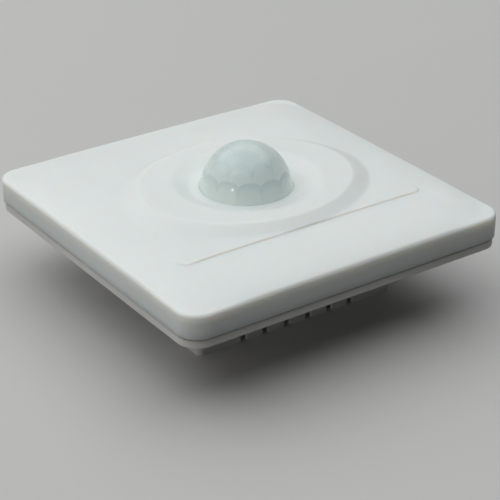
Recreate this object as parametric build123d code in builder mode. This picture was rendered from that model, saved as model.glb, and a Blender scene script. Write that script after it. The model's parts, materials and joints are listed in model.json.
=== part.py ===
from build123d import *
import os
from math import acos, atan2, cos, hypot, radians, sin

os.makedirs("parts", exist_ok=True)

# A square wall switch that turns a lamp on when it senses somebody moving.
# Lengths are in millimetres. X runs right, Y up the wall, Z out of the wall,
# and the origin is midway between the two fixing screws on the wall plane.

# Plate outline and levels, counted outwards from the wall plane
plate_size = 86.0
plate_corner_radius = 5.3
frame_thickness = 1.8
frame_inset = 0.4
shadow_gap = 0.3
cover_edge_level = 8.0
cover_edge_radius = 0.8
cover_wall = 2.0
cover_skin = 1.8

# Crowned front: a sloping border, a plain strip along the bottom, a raised panel above it
crown_margin = 0.3
shoulder_rise = 1.5
step_rise = 0.4
shoulder_width = 7.0
border_width = 9.6
strip_height = 17.6
crown_corner_radius = 4.6
shoulder_corner_radius = 4.4
panel_corner_radius = 3.8

# Oval mound on the panel and the round dish in its middle
mound_rise = 1.6
mound_foot_x = 31.3
mound_foot_y = 24.7
mound_foot_drop = 0.6
mound_top_x = 26.1
mound_top_y = 22.2
mound_top_drop = 1.15
mound_cavity_inset = 1.9
dish_drop = 1.1
dish_crest_radius = 18.0
dish_floor_radius = 14.4
dish_depth = 1.0
dish_back_spread = 0.7
dish_crest_spread = 1.3

# Lens dome
lens_hole_gap = 0.13
lens_base_radius = 10.95
lens_base_rise = 0.1
dome_flare = 0.3
dome_centre_drop = 0.2
lens_wall = 0.7
lens_flange_width = 2.0
lens_flange_thickness = 1.3

# Ring that clamps the lens to the cover
clamp_ring_thickness = 1.2
clamp_ring_bore_gap = 0.3
clamp_ring_spread = 1.4
clamp_screw_reach = 2.4
clamp_ear_radius = 2.3
clamp_boss_radius = 1.9
clamp_boss_bore_depth = 2.1
clamp_screw_count = 3

# Small self-tapping screws of the cover and of the sensor board
small_screw_radius = 0.95
small_screw_gap = 0.06
small_screw_hole_gap = 0.35
small_head_radius = 1.9
small_head_height = 1.1
small_recess_width = 0.6
small_recess_depth = 0.6
screw_end_gap = 0.2

# Snap hooks of the cover and their windows in the base frame
hook_width = 4.0
hook_thickness = 1.6
hook_window_gap = 0.6
hook_tip_level = 0.5
hook_edge_distance = 8.6
hook_corner_distance = 11.0
hook_upper_height = 27.0
hook_root_overlap = 0.1

# Base frame
rim_gap = 0.4
rim_wall = 1.6
rim_height = 2.8
fixing_spacing = 60.3
fixing_hole_width = 4.4
fixing_slot_length = 5.6
opening_ledge = 0.8
opening_corner_radius = 7.0

# Rear housing, which goes into the wall box
housing_width = 54.6
housing_height = 43.8
housing_depth = 16.4
housing_wall = 1.6
housing_corner_radius = 1.5
housing_inner_radius = 0.8
post_radius = 2.8
post_inset = 2.6
vent_count = 6
vent_pitch = 6.05
vent_width = 1.7
vent_height = 9.9
vent_wrap = 3.0
latch_slot_width = 2.0
latch_slot_height = 6.0
latch_slot_depth = 4.7

# Housing screws
housing_screw_radius = 1.25
housing_screw_gap = 0.06
housing_hole_gap = 0.3
housing_head_radius = 2.3
housing_head_height = 1.3
housing_head_gap = 0.3
housing_head_sink = 1.5
housing_bore_depth = 3.2
housing_recess_width = 0.8
housing_recess_depth = 0.8

# Sensor board
board_thickness = 1.6
board_corner_radius = 1.5
standoff_height = 1.2
standoff_radius = 2.2
standoff_setback = 2.6
standoff_bore_depth = 2.4
sensor_board_width = 50.0
board_hole_margin = 2.4

# Infrared sensor in its metal can
can_radius = 4.55
can_height = 4.2
can_flange_radius = 4.85
can_flange_height = 0.5
can_window_width = 4.4
can_window_height = 3.4
can_window_thickness = 0.4
spacer_radius = 4.4
spacer_height = 1.0
lead_radius = 0.25
lead_gap = 0.1
lead_tail = 1.2
lead_bend_radius = 0.6
can_lead_circle_radius = 2.54
can_lead_count = 3

# Photocell beside the sensor
photocell_radius = 2.5
photocell_flat_width = 4.3
photocell_thickness = 2.0
photocell_raise = 2.0
photocell_gap = 0.3
photocell_lead_spacing = 3.4

# Signal chip and the small parts around it
chip_length = 10.0
chip_width = 4.0
chip_height = 1.5
chip_raise = 0.2
chip_chamfer = 0.3
chip_pin_count = 8
chip_pin_pitch = 1.27
chip_pin_width = 0.42
chip_pin_thickness = 0.2
chip_pin_reach = 1.0
chip_side_distance = 7.0
chip_top_distance = 5.2
signal_capacitor_radius = 2.0
signal_capacitor_height = 4.6
signal_capacitor_distance = 20.5
resistor_length = 2.0
resistor_width = 1.25
resistor_height = 0.6
resistor_columns = 3
resistor_rows = 2
resistor_pitch_x = 4.0
resistor_pitch_y = 2.6
resistor_side_distance = 7.5
resistor_bottom_distance = 5.0

# Trimmers for hold time and light threshold
trimmer_size = 6.6
trimmer_height = 2.4
trimmer_edge_radius = 0.4
trimmer_well_radius = 2.5
trimmer_well_depth = 1.2
trimmer_rotor_gap = 0.25
trimmer_shaft_radius = 1.0
trimmer_shaft_gap = 0.05
trimmer_shaft_depth = 0.8
trimmer_rotor_height = 1.3
trimmer_slot_width = 0.7
trimmer_slot_length = 3.6
trimmer_slot_depth = 0.7
trimmer_arrow_width = 1.2
trimmer_arrow_length = 0.8
trimmer_arrow_distance = 1.3
trimmer_seat_gap = 0.05
trimmer_side_distance = 7.6
trimmer_end_distance = 7.8

# Power board and its connector
boss_drop = 2.0
boss_radius = 2.3
power_board_gap = 0.3
header_pin_count = 6
header_pitch = 2.54
header_depth = 2.5
header_height = 2.4
header_split = 0.1
header_pin_radius = 0.32
header_pin_insertion = 1.8
header_pin_gap = 0.08
header_side_distance = 12.0

# Parts on the back of the power board
relay_length = 18.4
relay_width = 10.4
relay_floor_gap = 0.8
relay_edge_radius = 0.6
relay_lead_spacing_x = 14.0
relay_lead_spacing_y = 7.6
film_length = 12.0
film_width = 5.0
film_floor_gap = 1.4
film_edge_radius = 0.5
film_lead_spacing = 10.0
film_wall_gap = 2.2
reservoir_radius = 4.0
reservoir_floor_gap = 0.9
reservoir_base_groove = 0.3
reservoir_groove_height = 1.0
reservoir_lead_spacing = 3.5
varistor_radius = 3.4
varistor_thickness = 3.2
varistor_edge_radius = 1.0
varistor_raise = 1.2
varistor_lead_spacing = 5.0
varistor_block_gap = 1.2
fuse_radius = 1.7
fuse_length = 10.0
fuse_cap_length = 2.2
fuse_cap_wall = 0.25
fuse_raise = 0.7
fuse_lead_reach = 1.2
diode_count = 4
diode_pitch = 4.2
diode_radius = 1.35
diode_length = 5.0
diode_raise = 0.5
diode_lead_reach = 1.4
diode_varistor_gap = 4.0

# Shares of the free room between the parts on the power board: relay, film capacitor, diodes
# and fuse from the top down, and terminals, relay and reservoir capacitor from left to right
row_gap_shares = (0.27, 0.22, 0.17, 0.25, 0.09)
column_gap_shares = (0.27, 0.39, 0.34)

# Screw terminals
terminal_count = 3
terminal_post_gap = 0.1
terminal_half_height = 3.75
terminal_wall = 0.9
terminal_chamber_share = 0.76
terminal_block_length = 12.4
terminal_side_wall = 1.2
terminal_window_width = 5.0
terminal_window_height = 8.0
terminal_window_drop = 0.3
terminal_screw_radius = 1.5
terminal_head_radius = 2.3
terminal_head_height = 1.4
terminal_head_gap = 0.2
terminal_web = 0.8
terminal_web_gap = 0.08
terminal_thread_gap = 0.06
terminal_slot_width = 0.7
terminal_slot_depth = 0.6
terminal_lift = 2.6
clamp_side_gap = 0.3
clamp_plate = 1.0
clamp_side_wall = 0.8
busbar_thickness = 0.8
busbar_width = 3.0
busbar_gap = 0.2
wire_hole_radius = 1.6

# Shared clearances
seat_gap = 0.05
overrun = 1.0

# Levels and half sizes worked out from the sizes above
plate_half = plate_size / 2
cover_base_level = frame_thickness + shadow_gap
shoulder_level = cover_edge_level + shoulder_rise
panel_level = shoulder_level + step_rise
plateau_level = panel_level + mound_rise
crown_foot_size = plate_size - 2 * (cover_edge_radius + crown_margin)
shoulder_half = plate_half - shoulder_width
panel_half = plate_half - border_width
step_line_y = strip_height - plate_half
cavity_size = plate_size - 2 * cover_wall
cavity_corner_radius = plate_corner_radius - cover_wall
cavity_wall_level = cover_edge_level - cover_skin
ceiling_level = panel_level - cover_skin
plateau_back_level = plateau_level - cover_skin
dish_floor_level = plateau_level - dish_depth
dish_back_level = dish_floor_level - cover_skin
lens_y = -dish_drop
lens_hole_radius = lens_base_radius + lens_hole_gap
lens_base_level = dish_floor_level + lens_base_rise
dome_radius = lens_base_radius - dome_flare
dome_centre_level = lens_base_level - dome_centre_drop
lens_flange_radius = lens_base_radius + lens_flange_width
lens_flange_level = dish_back_level - lens_flange_thickness
clamp_ring_level = lens_flange_level - clamp_ring_thickness
clamp_ring_inner = lens_base_radius - lens_wall + clamp_ring_bore_gap
clamp_ring_outer = lens_flange_radius + clamp_ring_spread
clamp_screw_circle = lens_flange_radius + clamp_screw_reach
housing_floor_level = housing_wall - housing_depth
housing_inner_width = housing_width - 2 * housing_wall
housing_inner_height = housing_height - 2 * housing_wall
post_x = housing_inner_width / 2 - post_inset
post_y = housing_inner_height / 2 - post_inset
power_board_top = -boss_drop
power_board_back = power_board_top - board_thickness
power_room = power_board_back - housing_floor_level
lead_tip_level = power_board_top + lead_tail
frame_size = plate_size - 2 * frame_inset
frame_corner_radius = plate_corner_radius - frame_inset
frame_opening_width = housing_inner_width - 2 * opening_ledge
frame_opening_height = housing_inner_height - 2 * opening_ledge
rim_size = cavity_size - 2 * rim_gap
rim_corner_radius = cavity_corner_radius - rim_gap
sensor_board_back = frame_thickness + standoff_height
sensor_board_top = sensor_board_back + board_thickness
standoff_x = sensor_board_width / 2 - board_hole_margin
standoff_y = frame_opening_height / 2 + standoff_setback
sensor_board_height = 2 * (standoff_y + board_hole_margin)
board_gap = sensor_board_back - power_board_top
lead_hole_radius = lead_radius + lead_gap

# Axis and cutting plane through the middle of the lens
lens_axis = Axis((0, lens_y, 0), (0, 0, 1))
lens_plane = Plane(origin=(0, lens_y, 0), x_dir=(1, 0, 0), z_dir=(0, -1, 0))

# Places of the snap hooks: three along the bottom, one at the top, one at each side
hook_low_y = hook_edge_distance - plate_half
hook_side_x = plate_half - hook_edge_distance
hook_corner_x = plate_half - hook_corner_distance
hook_rows = [
    (-hook_corner_x, hook_low_y),
    (0, hook_low_y),
    (hook_corner_x, hook_low_y),
    (0, -hook_low_y),
]
hook_columns = [(-hook_side_x, hook_upper_height), (hook_side_x, hook_upper_height)]


def rounded_field(half_width, low, high, radius):
    # A rounded rectangle between two heights on the plate, drawn in the open sketch
    with Locations((0, (low + high) / 2)):
        RectangleRounded(2 * half_width, high - low, radius)


def cross_recess(length, width):
    # Two crossed bars of a screwdriver recess, drawn in the open sketch
    Rectangle(length, width)
    Rectangle(width, length)


# Front cover: a shell with a crowned front, the oval mound and the dish round the lens
with BuildPart() as front_cover:
    with BuildSketch(Plane.XY.offset(cover_base_level)):
        RectangleRounded(plate_size, plate_size, plate_corner_radius)
    extrude(amount=cover_edge_level - cover_base_level)
    fillet(front_cover.faces().sort_by(Axis.Z)[-1].edges(), cover_edge_radius)
    with BuildSketch(Plane.XY.offset(cover_edge_level)):
        RectangleRounded(crown_foot_size, crown_foot_size, crown_corner_radius)
    with BuildSketch(Plane.XY.offset(shoulder_level)):
        rounded_field(shoulder_half, step_line_y, shoulder_half, shoulder_corner_radius)
    loft(ruled=True)
    with BuildSketch(Plane.XY.offset(shoulder_level)):
        rounded_field(shoulder_half, step_line_y, shoulder_half, shoulder_corner_radius)
    with BuildSketch(Plane.XY.offset(panel_level)):
        rounded_field(panel_half, step_line_y, panel_half, panel_corner_radius)
    loft(ruled=True)
    with BuildSketch(Plane.XY.offset(panel_level)):
        with Locations((0, -mound_foot_drop)):
            Ellipse(mound_foot_x, mound_foot_y)
    with BuildSketch(Plane.XY.offset(plateau_level)):
        with Locations((0, -mound_top_drop)):
            Ellipse(mound_top_x, mound_top_y)
    loft(ruled=True)
    # Hollow behind the side walls, the sloping border, the panel and the mound
    with BuildSketch(Plane.XY.offset(cover_base_level)):
        RectangleRounded(cavity_size, cavity_size, cavity_corner_radius)
    extrude(amount=cavity_wall_level - cover_base_level, mode=Mode.SUBTRACT)
    with BuildSketch(Plane.XY.offset(cavity_wall_level)):
        RectangleRounded(cavity_size - 2 * rim_gap, cavity_size - 2 * rim_gap, rim_corner_radius)
    with BuildSketch(Plane.XY.offset(ceiling_level)):
        rounded_field(panel_half - rim_gap, step_line_y, panel_half - rim_gap, panel_corner_radius)
    loft(ruled=True, mode=Mode.SUBTRACT)
    with BuildSketch(Plane.XY.offset(ceiling_level)):
        with Locations((0, -mound_foot_drop)):
            Ellipse(mound_foot_x - mound_cavity_inset, mound_foot_y - mound_cavity_inset)
    with BuildSketch(Plane.XY.offset(plateau_back_level)):
        with Locations((0, -mound_top_drop)):
            Ellipse(mound_top_x - mound_cavity_inset, mound_top_y - mound_cavity_inset)
    loft(ruled=True, mode=Mode.SUBTRACT)
    # Wall and floor of the dish, and bosses for the clamp ring
    with BuildSketch(lens_plane):
        with BuildLine():
            Polyline(
                (lens_hole_radius, dish_back_level),
                (dish_floor_radius + dish_back_spread, dish_back_level),
                (dish_crest_radius + dish_crest_spread, plateau_back_level),
                (dish_crest_radius + dish_crest_spread, plateau_level),
                (lens_hole_radius, plateau_level),
                close=True,
            )
        make_face()
    revolve(axis=lens_axis)
    with BuildSketch(Plane.XY.offset(lens_flange_level)):
        with Locations((0, lens_y)):
            with PolarLocations(clamp_screw_circle, clamp_screw_count, start_angle=-90):
                Circle(clamp_boss_radius)
    extrude(amount=plateau_back_level - lens_flange_level)
    with BuildSketch(lens_plane):
        with BuildLine():
            Polyline(
                (0, dish_floor_level),
                (dish_floor_radius, dish_floor_level),
                (dish_crest_radius, plateau_level),
                (dish_crest_radius, plateau_level + overrun),
                (0, plateau_level + overrun),
                close=True,
            )
        make_face()
    revolve(axis=lens_axis, mode=Mode.SUBTRACT)
    with BuildSketch(Plane.XY.offset(dish_back_level - overrun)):
        with Locations((0, lens_y)):
            Circle(lens_hole_radius)
    extrude(amount=dish_floor_level - dish_back_level + 2 * overrun, mode=Mode.SUBTRACT)
    with BuildSketch(Plane.XY.offset(lens_flange_level)):
        with Locations((0, lens_y)):
            with PolarLocations(clamp_screw_circle, clamp_screw_count, start_angle=-90):
                Circle(small_screw_radius + small_screw_gap)
    extrude(amount=clamp_boss_bore_depth, mode=Mode.SUBTRACT)
    # Snap hooks
    with BuildSketch(Plane.XY.offset(hook_tip_level)):
        with Locations(*hook_rows):
            Rectangle(hook_width, hook_thickness)
        with Locations(*hook_columns):
            Rectangle(hook_thickness, hook_width)
    extrude(amount=ceiling_level + hook_root_overlap - hook_tip_level)
front_cover.part.label = "front_cover"
export_step(front_cover.part, "parts/front_cover.step")


def dome_tangent_angle(shell_radius, foot_radius):
    # Angle, above level, at which a cone from the foot meets the ball of the dome
    reach = hypot(foot_radius, dome_centre_drop)
    return acos(shell_radius / reach) + atan2(dome_centre_drop, foot_radius)


def dome_point(shell_radius, angle):
    return (shell_radius * cos(angle), dome_centre_level + shell_radius * sin(angle))


# Lens dome: a ball on a flared skirt, with a flange behind the cover
outer_angle = dome_tangent_angle(dome_radius, lens_base_radius)
inner_foot_radius = lens_base_radius - lens_wall
inner_dome_radius = dome_radius - lens_wall
inner_angle = dome_tangent_angle(inner_dome_radius, inner_foot_radius)
top_angle = radians(90)
with BuildPart() as lens_dome:
    with BuildSketch(lens_plane):
        with BuildLine():
            outer_tangent = dome_point(dome_radius, outer_angle)
            outer_middle = dome_point(dome_radius, (outer_angle + top_angle) / 2)
            outer_apex = (0, dome_centre_level + dome_radius)
            inner_tangent = dome_point(inner_dome_radius, inner_angle)
            inner_middle = dome_point(inner_dome_radius, (inner_angle + top_angle) / 2)
            inner_apex = (0, dome_centre_level + inner_dome_radius)
            ThreePointArc(outer_tangent, outer_middle, outer_apex)
            Line(outer_apex, inner_apex)
            ThreePointArc(inner_apex, inner_middle, inner_tangent)
            Polyline(
                inner_tangent,
                (inner_foot_radius, lens_base_level),
                (inner_foot_radius, lens_flange_level),
                (lens_flange_radius, lens_flange_level),
                (lens_flange_radius, dish_back_level - seat_gap),
                (lens_base_radius, dish_back_level - seat_gap),
                (lens_base_radius, lens_base_level),
                outer_tangent,
            )
        make_face()
    revolve(axis=lens_axis)
lens_dome.part.label = "lens_dome"
export_step(lens_dome.part, "parts/lens_dome.step")

# Clamp ring: a flat ring with three ears, screwed to the bosses behind the dish
with BuildPart() as lens_clamp_ring:
    with BuildSketch(Plane.XY.offset(clamp_ring_level)):
        with Locations((0, lens_y)):
            Circle(clamp_ring_outer)
            with PolarLocations(clamp_screw_circle, clamp_screw_count, start_angle=-90):
                Circle(clamp_ear_radius)
                Circle(small_screw_radius + small_screw_hole_gap, mode=Mode.SUBTRACT)
            Circle(clamp_ring_inner, mode=Mode.SUBTRACT)
    extrude(amount=clamp_ring_thickness - seat_gap)
lens_clamp_ring.part.label = "lens_clamp_ring"
export_step(lens_clamp_ring.part, "parts/lens_clamp_ring.step")

# Three screws of the clamp ring, driven from behind the cover
with BuildPart() as clamp_ring_screws:
    with BuildSketch(Plane.XY.offset(clamp_ring_level - small_head_height)):
        with Locations((0, lens_y)):
            with PolarLocations(clamp_screw_circle, clamp_screw_count, start_angle=-90):
                Circle(small_head_radius)
    extrude(amount=small_head_height)
    with BuildSketch(Plane.XY.offset(clamp_ring_level)):
        with Locations((0, lens_y)):
            with PolarLocations(clamp_screw_circle, clamp_screw_count, start_angle=-90):
                Circle(small_screw_radius)
    extrude(amount=clamp_ring_thickness + clamp_boss_bore_depth - screw_end_gap)
    with BuildSketch(Plane.XY.offset(clamp_ring_level - small_head_height)):
        with Locations((0, lens_y)):
            with PolarLocations(clamp_screw_circle, clamp_screw_count, start_angle=-90):
                cross_recess(small_head_radius, small_recess_width)
    extrude(amount=small_recess_depth, mode=Mode.SUBTRACT)
clamp_ring_screws.part.label = "clamp_ring_screws"
export_step(clamp_ring_screws.part, "parts/clamp_ring_screws.step")

# Base frame: the flat plate against the wall, with its locating rim and bosses
with BuildPart() as base_frame:
    with BuildSketch():
        RectangleRounded(frame_size, frame_size, frame_corner_radius)
        RectangleRounded(
            frame_opening_width, frame_opening_height, opening_corner_radius, mode=Mode.SUBTRACT
        )
        with GridLocations(fixing_spacing, 0, 2, 1):
            SlotOverall(fixing_slot_length, fixing_hole_width, mode=Mode.SUBTRACT)
        with Locations(*hook_rows):
            Rectangle(
                hook_width + 2 * hook_window_gap,
                hook_thickness + 2 * hook_window_gap,
                mode=Mode.SUBTRACT,
            )
        with Locations(*hook_columns):
            Rectangle(
                hook_thickness + 2 * hook_window_gap,
                hook_width + 2 * hook_window_gap,
                mode=Mode.SUBTRACT,
            )
    extrude(amount=frame_thickness)
    with BuildSketch(Plane.XY.offset(frame_thickness)):
        RectangleRounded(rim_size, rim_size, rim_corner_radius)
        RectangleRounded(
            rim_size - 2 * rim_wall,
            rim_size - 2 * rim_wall,
            rim_corner_radius - rim_wall,
            mode=Mode.SUBTRACT,
        )
    extrude(amount=rim_height)
    with BuildSketch(Plane.XY.offset(frame_thickness)):
        with GridLocations(2 * standoff_x, 2 * standoff_y, 2, 2):
            Circle(standoff_radius)
    extrude(amount=standoff_height)
    with BuildSketch(Plane.XY.offset(-boss_drop)):
        with GridLocations(2 * post_x, 2 * post_y, 2, 2):
            Circle(boss_radius)
    extrude(amount=boss_drop + frame_thickness)
    with BuildSketch(Plane.XY.offset(sensor_board_back)):
        with GridLocations(2 * standoff_x, 2 * standoff_y, 2, 2):
            Circle(small_screw_radius + small_screw_gap)
    extrude(amount=-standoff_bore_depth, mode=Mode.SUBTRACT)
    with BuildSketch(Plane.XY.offset(-boss_drop)):
        with GridLocations(2 * post_x, 2 * post_y, 2, 2):
            Circle(housing_screw_radius + housing_screw_gap)
    extrude(amount=housing_bore_depth, mode=Mode.SUBTRACT)
base_frame.part.label = "base_frame"
export_step(base_frame.part, "parts/base_frame.step")

# Places of the terminals along the left side of the housing, between its posts
block_half_length = post_y - post_radius - terminal_post_gap
terminal_pitch = 2 * block_half_length / terminal_count
terminal_places = [
    (index - (terminal_count - 1) / 2) * terminal_pitch for index in range(terminal_count)
]
block_left = -housing_inner_width / 2 + seat_gap
block_right = block_left + terminal_block_length
head_left = block_left + terminal_head_gap
web_left = head_left + terminal_head_height + seat_gap
chamber_left = web_left + terminal_web
chamber_right = block_right - terminal_side_wall
clamp_right = chamber_right - seat_gap - terminal_wall / 2
clamp_left = chamber_left + seat_gap + terminal_lift
clamp_length = clamp_right - clamp_left
busbar_left = clamp_left + clamp_plate + busbar_gap
wire_gap_left = busbar_left + busbar_thickness
wire_gap_right = clamp_right - clamp_plate
wire_x = (wire_gap_left + wire_gap_right) / 2
chamber_half_width = terminal_pitch * terminal_chamber_share / 2
clamp_half_width = chamber_half_width - clamp_side_gap
block_low = housing_floor_level + seat_gap
terminal_level = block_low + terminal_half_height
chamber_low = block_low + terminal_wall
block_high = terminal_level + terminal_half_height
chamber_high = block_high - terminal_wall
clamp_low = chamber_low + clamp_side_gap
clamp_high = chamber_high - clamp_side_gap

# Planes that look along X, for the terminals and for cuts in the side walls
left_wall_plane = Plane(
    origin=(-housing_width / 2 - overrun, 0, 0), x_dir=(0, 1, 0), z_dir=(1, 0, 0)
)


def plane_at_x(place):
    return Plane(origin=(place, 0, 0), x_dir=(0, 1, 0), z_dir=(1, 0, 0))


# Rear housing: an open box with screw posts, vents and the terminal windows
with BuildPart() as rear_housing:
    with BuildSketch(Plane.XY.offset(-housing_depth)):
        RectangleRounded(housing_width, housing_height, housing_corner_radius)
    extrude(amount=housing_depth)
    with BuildSketch(Plane.XY.offset(housing_floor_level)):
        RectangleRounded(housing_inner_width, housing_inner_height, housing_inner_radius)
    extrude(amount=-housing_floor_level, mode=Mode.SUBTRACT)
    with BuildSketch(Plane.XY.offset(housing_floor_level)):
        with GridLocations(2 * post_x, 2 * post_y, 2, 2):
            Circle(post_radius)
    extrude(amount=power_room)
    with BuildSketch(Plane.XY.offset(-housing_depth)):
        with GridLocations(2 * post_x, 2 * post_y, 2, 2):
            Circle(housing_screw_radius + housing_hole_gap)
    extrude(amount=housing_depth - boss_drop, mode=Mode.SUBTRACT)
    with BuildSketch(Plane.XY.offset(-housing_depth)):
        with GridLocations(2 * post_x, 2 * post_y, 2, 2):
            Circle(housing_head_radius + housing_head_gap)
    extrude(amount=housing_head_sink, mode=Mode.SUBTRACT)
    # Vents along the lower and upper sides, turned round the rear edge
    vent_reach = housing_wall + vent_wrap + overrun
    with BuildSketch(Plane.XY.offset(-housing_depth)):
        with GridLocations(vent_pitch, housing_height + 2 * overrun - vent_reach, vent_count, 2):
            Rectangle(vent_width, vent_reach)
    extrude(amount=vent_height, mode=Mode.SUBTRACT)
    # Windows over the terminal screws, and latch slots in both end walls
    with BuildSketch(left_wall_plane):
        for place in terminal_places:
            with Locations((place, terminal_level - terminal_window_drop)):
                SlotOverall(terminal_window_height, terminal_window_width, rotation=90)
    extrude(amount=housing_wall + overrun, mode=Mode.SUBTRACT)
    with BuildSketch(left_wall_plane):
        with Locations(
            (terminal_places[0], -latch_slot_depth), (terminal_places[-1], -latch_slot_depth)
        ):
            SlotOverall(latch_slot_height, latch_slot_width, rotation=90)
    extrude(amount=housing_width + 2 * overrun, mode=Mode.SUBTRACT)
    # Holes in the floor for the wires
    with BuildSketch(Plane.XY.offset(-housing_depth)):
        for place in terminal_places:
            with Locations((wire_x, place)):
                Circle(wire_hole_radius)
    extrude(amount=housing_wall, mode=Mode.SUBTRACT)
rear_housing.part.label = "rear_housing"
export_step(rear_housing.part, "parts/rear_housing.step")

# Four long screws that hold the housing and the power board to the base frame
head_top_level = housing_head_sink - housing_depth
with BuildPart() as housing_screws:
    with BuildSketch(Plane.XY.offset(head_top_level)):
        with GridLocations(2 * post_x, 2 * post_y, 2, 2):
            Circle(housing_head_radius)
    extrude(amount=-housing_head_height)
    with BuildSketch(Plane.XY.offset(head_top_level)):
        with GridLocations(2 * post_x, 2 * post_y, 2, 2):
            Circle(housing_screw_radius)
    extrude(amount=housing_bore_depth - boss_drop - screw_end_gap - head_top_level)
    with BuildSketch(Plane.XY.offset(head_top_level - housing_head_height)):
        with GridLocations(2 * post_x, 2 * post_y, 2, 2):
            cross_recess(housing_head_radius, housing_recess_width)
    extrude(amount=housing_recess_depth, mode=Mode.SUBTRACT)
housing_screws.part.label = "housing_screws"
export_step(housing_screws.part, "parts/housing_screws.step")

# Places on the sensor board
can_leads = [
    (
        can_lead_circle_radius * cos(radians(360 * index / (can_lead_count + 1))),
        lens_y + can_lead_circle_radius * sin(radians(360 * index / (can_lead_count + 1))),
    )
    for index in range(can_lead_count)
]
photocell_x = can_flange_radius + photocell_gap + photocell_radius
photocell_leads_places = [
    (photocell_x, lens_y - photocell_lead_spacing / 2),
    (photocell_x, lens_y + photocell_lead_spacing / 2),
]
signal_capacitor_places = [
    (-signal_capacitor_distance, lens_y),
    (signal_capacitor_distance, lens_y),
]
trimmer_x = sensor_board_width / 2 - trimmer_side_distance
trimmer_y = sensor_board_height / 2 - trimmer_end_distance
# Sensor board
with BuildPart() as sensor_board:
    with BuildSketch(Plane.XY.offset(sensor_board_back)):
        RectangleRounded(sensor_board_width, sensor_board_height, board_corner_radius)
        with GridLocations(2 * standoff_x, 2 * standoff_y, 2, 2):
            Circle(small_screw_radius + small_screw_hole_gap, mode=Mode.SUBTRACT)
        with Locations(*can_leads, *photocell_leads_places):
            Circle(lead_hole_radius, mode=Mode.SUBTRACT)
    extrude(amount=board_thickness)
sensor_board.part.label = "sensor_board"
export_step(sensor_board.part, "parts/sensor_board.step")

# Four screws of the sensor board
with BuildPart() as sensor_board_screws:
    with BuildSketch(Plane.XY.offset(sensor_board_top)):
        with GridLocations(2 * standoff_x, 2 * standoff_y, 2, 2):
            Circle(small_head_radius)
    extrude(amount=small_head_height)
    with BuildSketch(Plane.XY.offset(sensor_board_top)):
        with GridLocations(2 * standoff_x, 2 * standoff_y, 2, 2):
            Circle(small_screw_radius)
    extrude(amount=screw_end_gap - board_thickness - standoff_bore_depth)
    with BuildSketch(Plane.XY.offset(sensor_board_top + small_head_height)):
        with GridLocations(2 * standoff_x, 2 * standoff_y, 2, 2):
            cross_recess(small_head_radius, small_recess_width)
    extrude(amount=-small_recess_depth, mode=Mode.SUBTRACT)
sensor_board_screws.part.label = "sensor_board_screws"
export_step(sensor_board_screws.part, "parts/sensor_board_screws.step")

# Infrared sensor: plastic spacer, metal can, window and leads
can_base_level = sensor_board_top + spacer_height
can_top_level = can_base_level + can_height
with BuildPart() as pir_sensor_spacer:
    with BuildSketch(Plane.XY.offset(sensor_board_top)):
        with Locations((0, lens_y)):
            Circle(spacer_radius)
        with Locations(*can_leads):
            Circle(lead_hole_radius, mode=Mode.SUBTRACT)
    extrude(amount=spacer_height)
pir_sensor_spacer.part.label = "pir_sensor_spacer"
export_step(pir_sensor_spacer.part, "parts/pir_sensor_spacer.step")

with BuildPart() as pir_sensor_can:
    with BuildSketch(Plane.XY.offset(can_base_level)):
        with Locations((0, lens_y)):
            Circle(can_flange_radius)
    extrude(amount=can_flange_height)
    with BuildSketch(Plane.XY.offset(can_base_level)):
        with Locations((0, lens_y)):
            Circle(can_radius)
    extrude(amount=can_height)
    fillet(pir_sensor_can.faces().sort_by(Axis.Z)[-1].edges(), can_window_thickness)
    with BuildSketch(Plane.XY.offset(can_top_level)):
        with Locations((0, lens_y)):
            Rectangle(can_window_width, can_window_height)
    extrude(amount=-can_window_thickness, mode=Mode.SUBTRACT)
pir_sensor_can.part.label = "pir_sensor_can"
export_step(pir_sensor_can.part, "parts/pir_sensor_can.step")

with BuildPart() as pir_sensor_window:
    with BuildSketch(Plane.XY.offset(can_top_level - can_window_thickness)):
        with Locations((0, lens_y)):
            Rectangle(can_window_width - 2 * seat_gap, can_window_height - 2 * seat_gap)
    extrude(amount=can_window_thickness - seat_gap)
pir_sensor_window.part.label = "pir_sensor_window"
export_step(pir_sensor_window.part, "parts/pir_sensor_window.step")

with BuildPart() as pir_sensor_leads:
    with BuildSketch(Plane.XY.offset(can_base_level)):
        with Locations(*can_leads):
            Circle(lead_radius)
    extrude(amount=-(spacer_height + board_thickness + lead_tail))
pir_sensor_leads.part.label = "pir_sensor_leads"
export_step(pir_sensor_leads.part, "parts/pir_sensor_leads.step")

# Photocell: a flat-sided disc standing on two leads beside the sensor
photocell_level = sensor_board_top + photocell_raise
with BuildPart() as photocell:
    with BuildSketch(Plane.XY.offset(photocell_level)):
        with Locations((photocell_x, lens_y)):
            Circle(photocell_radius)
            Rectangle(photocell_flat_width, 2 * photocell_radius, mode=Mode.INTERSECT)
    extrude(amount=photocell_thickness)
photocell.part.label = "photocell"
export_step(photocell.part, "parts/photocell.step")

with BuildPart() as photocell_leads:
    with BuildSketch(Plane.XY.offset(photocell_level)):
        with Locations(*photocell_leads_places):
            Circle(lead_radius)
    extrude(amount=-(photocell_raise + board_thickness + lead_tail))
photocell_leads.part.label = "photocell_leads"
export_step(photocell_leads.part, "parts/photocell_leads.step")

# Signal chip with its gull-wing pins drawn as flat feet under the body
chip_x = chip_side_distance + chip_length / 2 - sensor_board_width / 2
chip_y = sensor_board_height / 2 - chip_top_distance - chip_width / 2
with BuildPart() as signal_chip:
    with BuildSketch(Plane.XY.offset(sensor_board_top + chip_raise)):
        with Locations((chip_x, chip_y)):
            Rectangle(chip_length, chip_width)
    extrude(amount=chip_height)
    chamfer(signal_chip.faces().sort_by(Axis.Z)[-1].edges(), chip_chamfer)
signal_chip.part.label = "signal_chip"
export_step(signal_chip.part, "parts/signal_chip.step")

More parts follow.
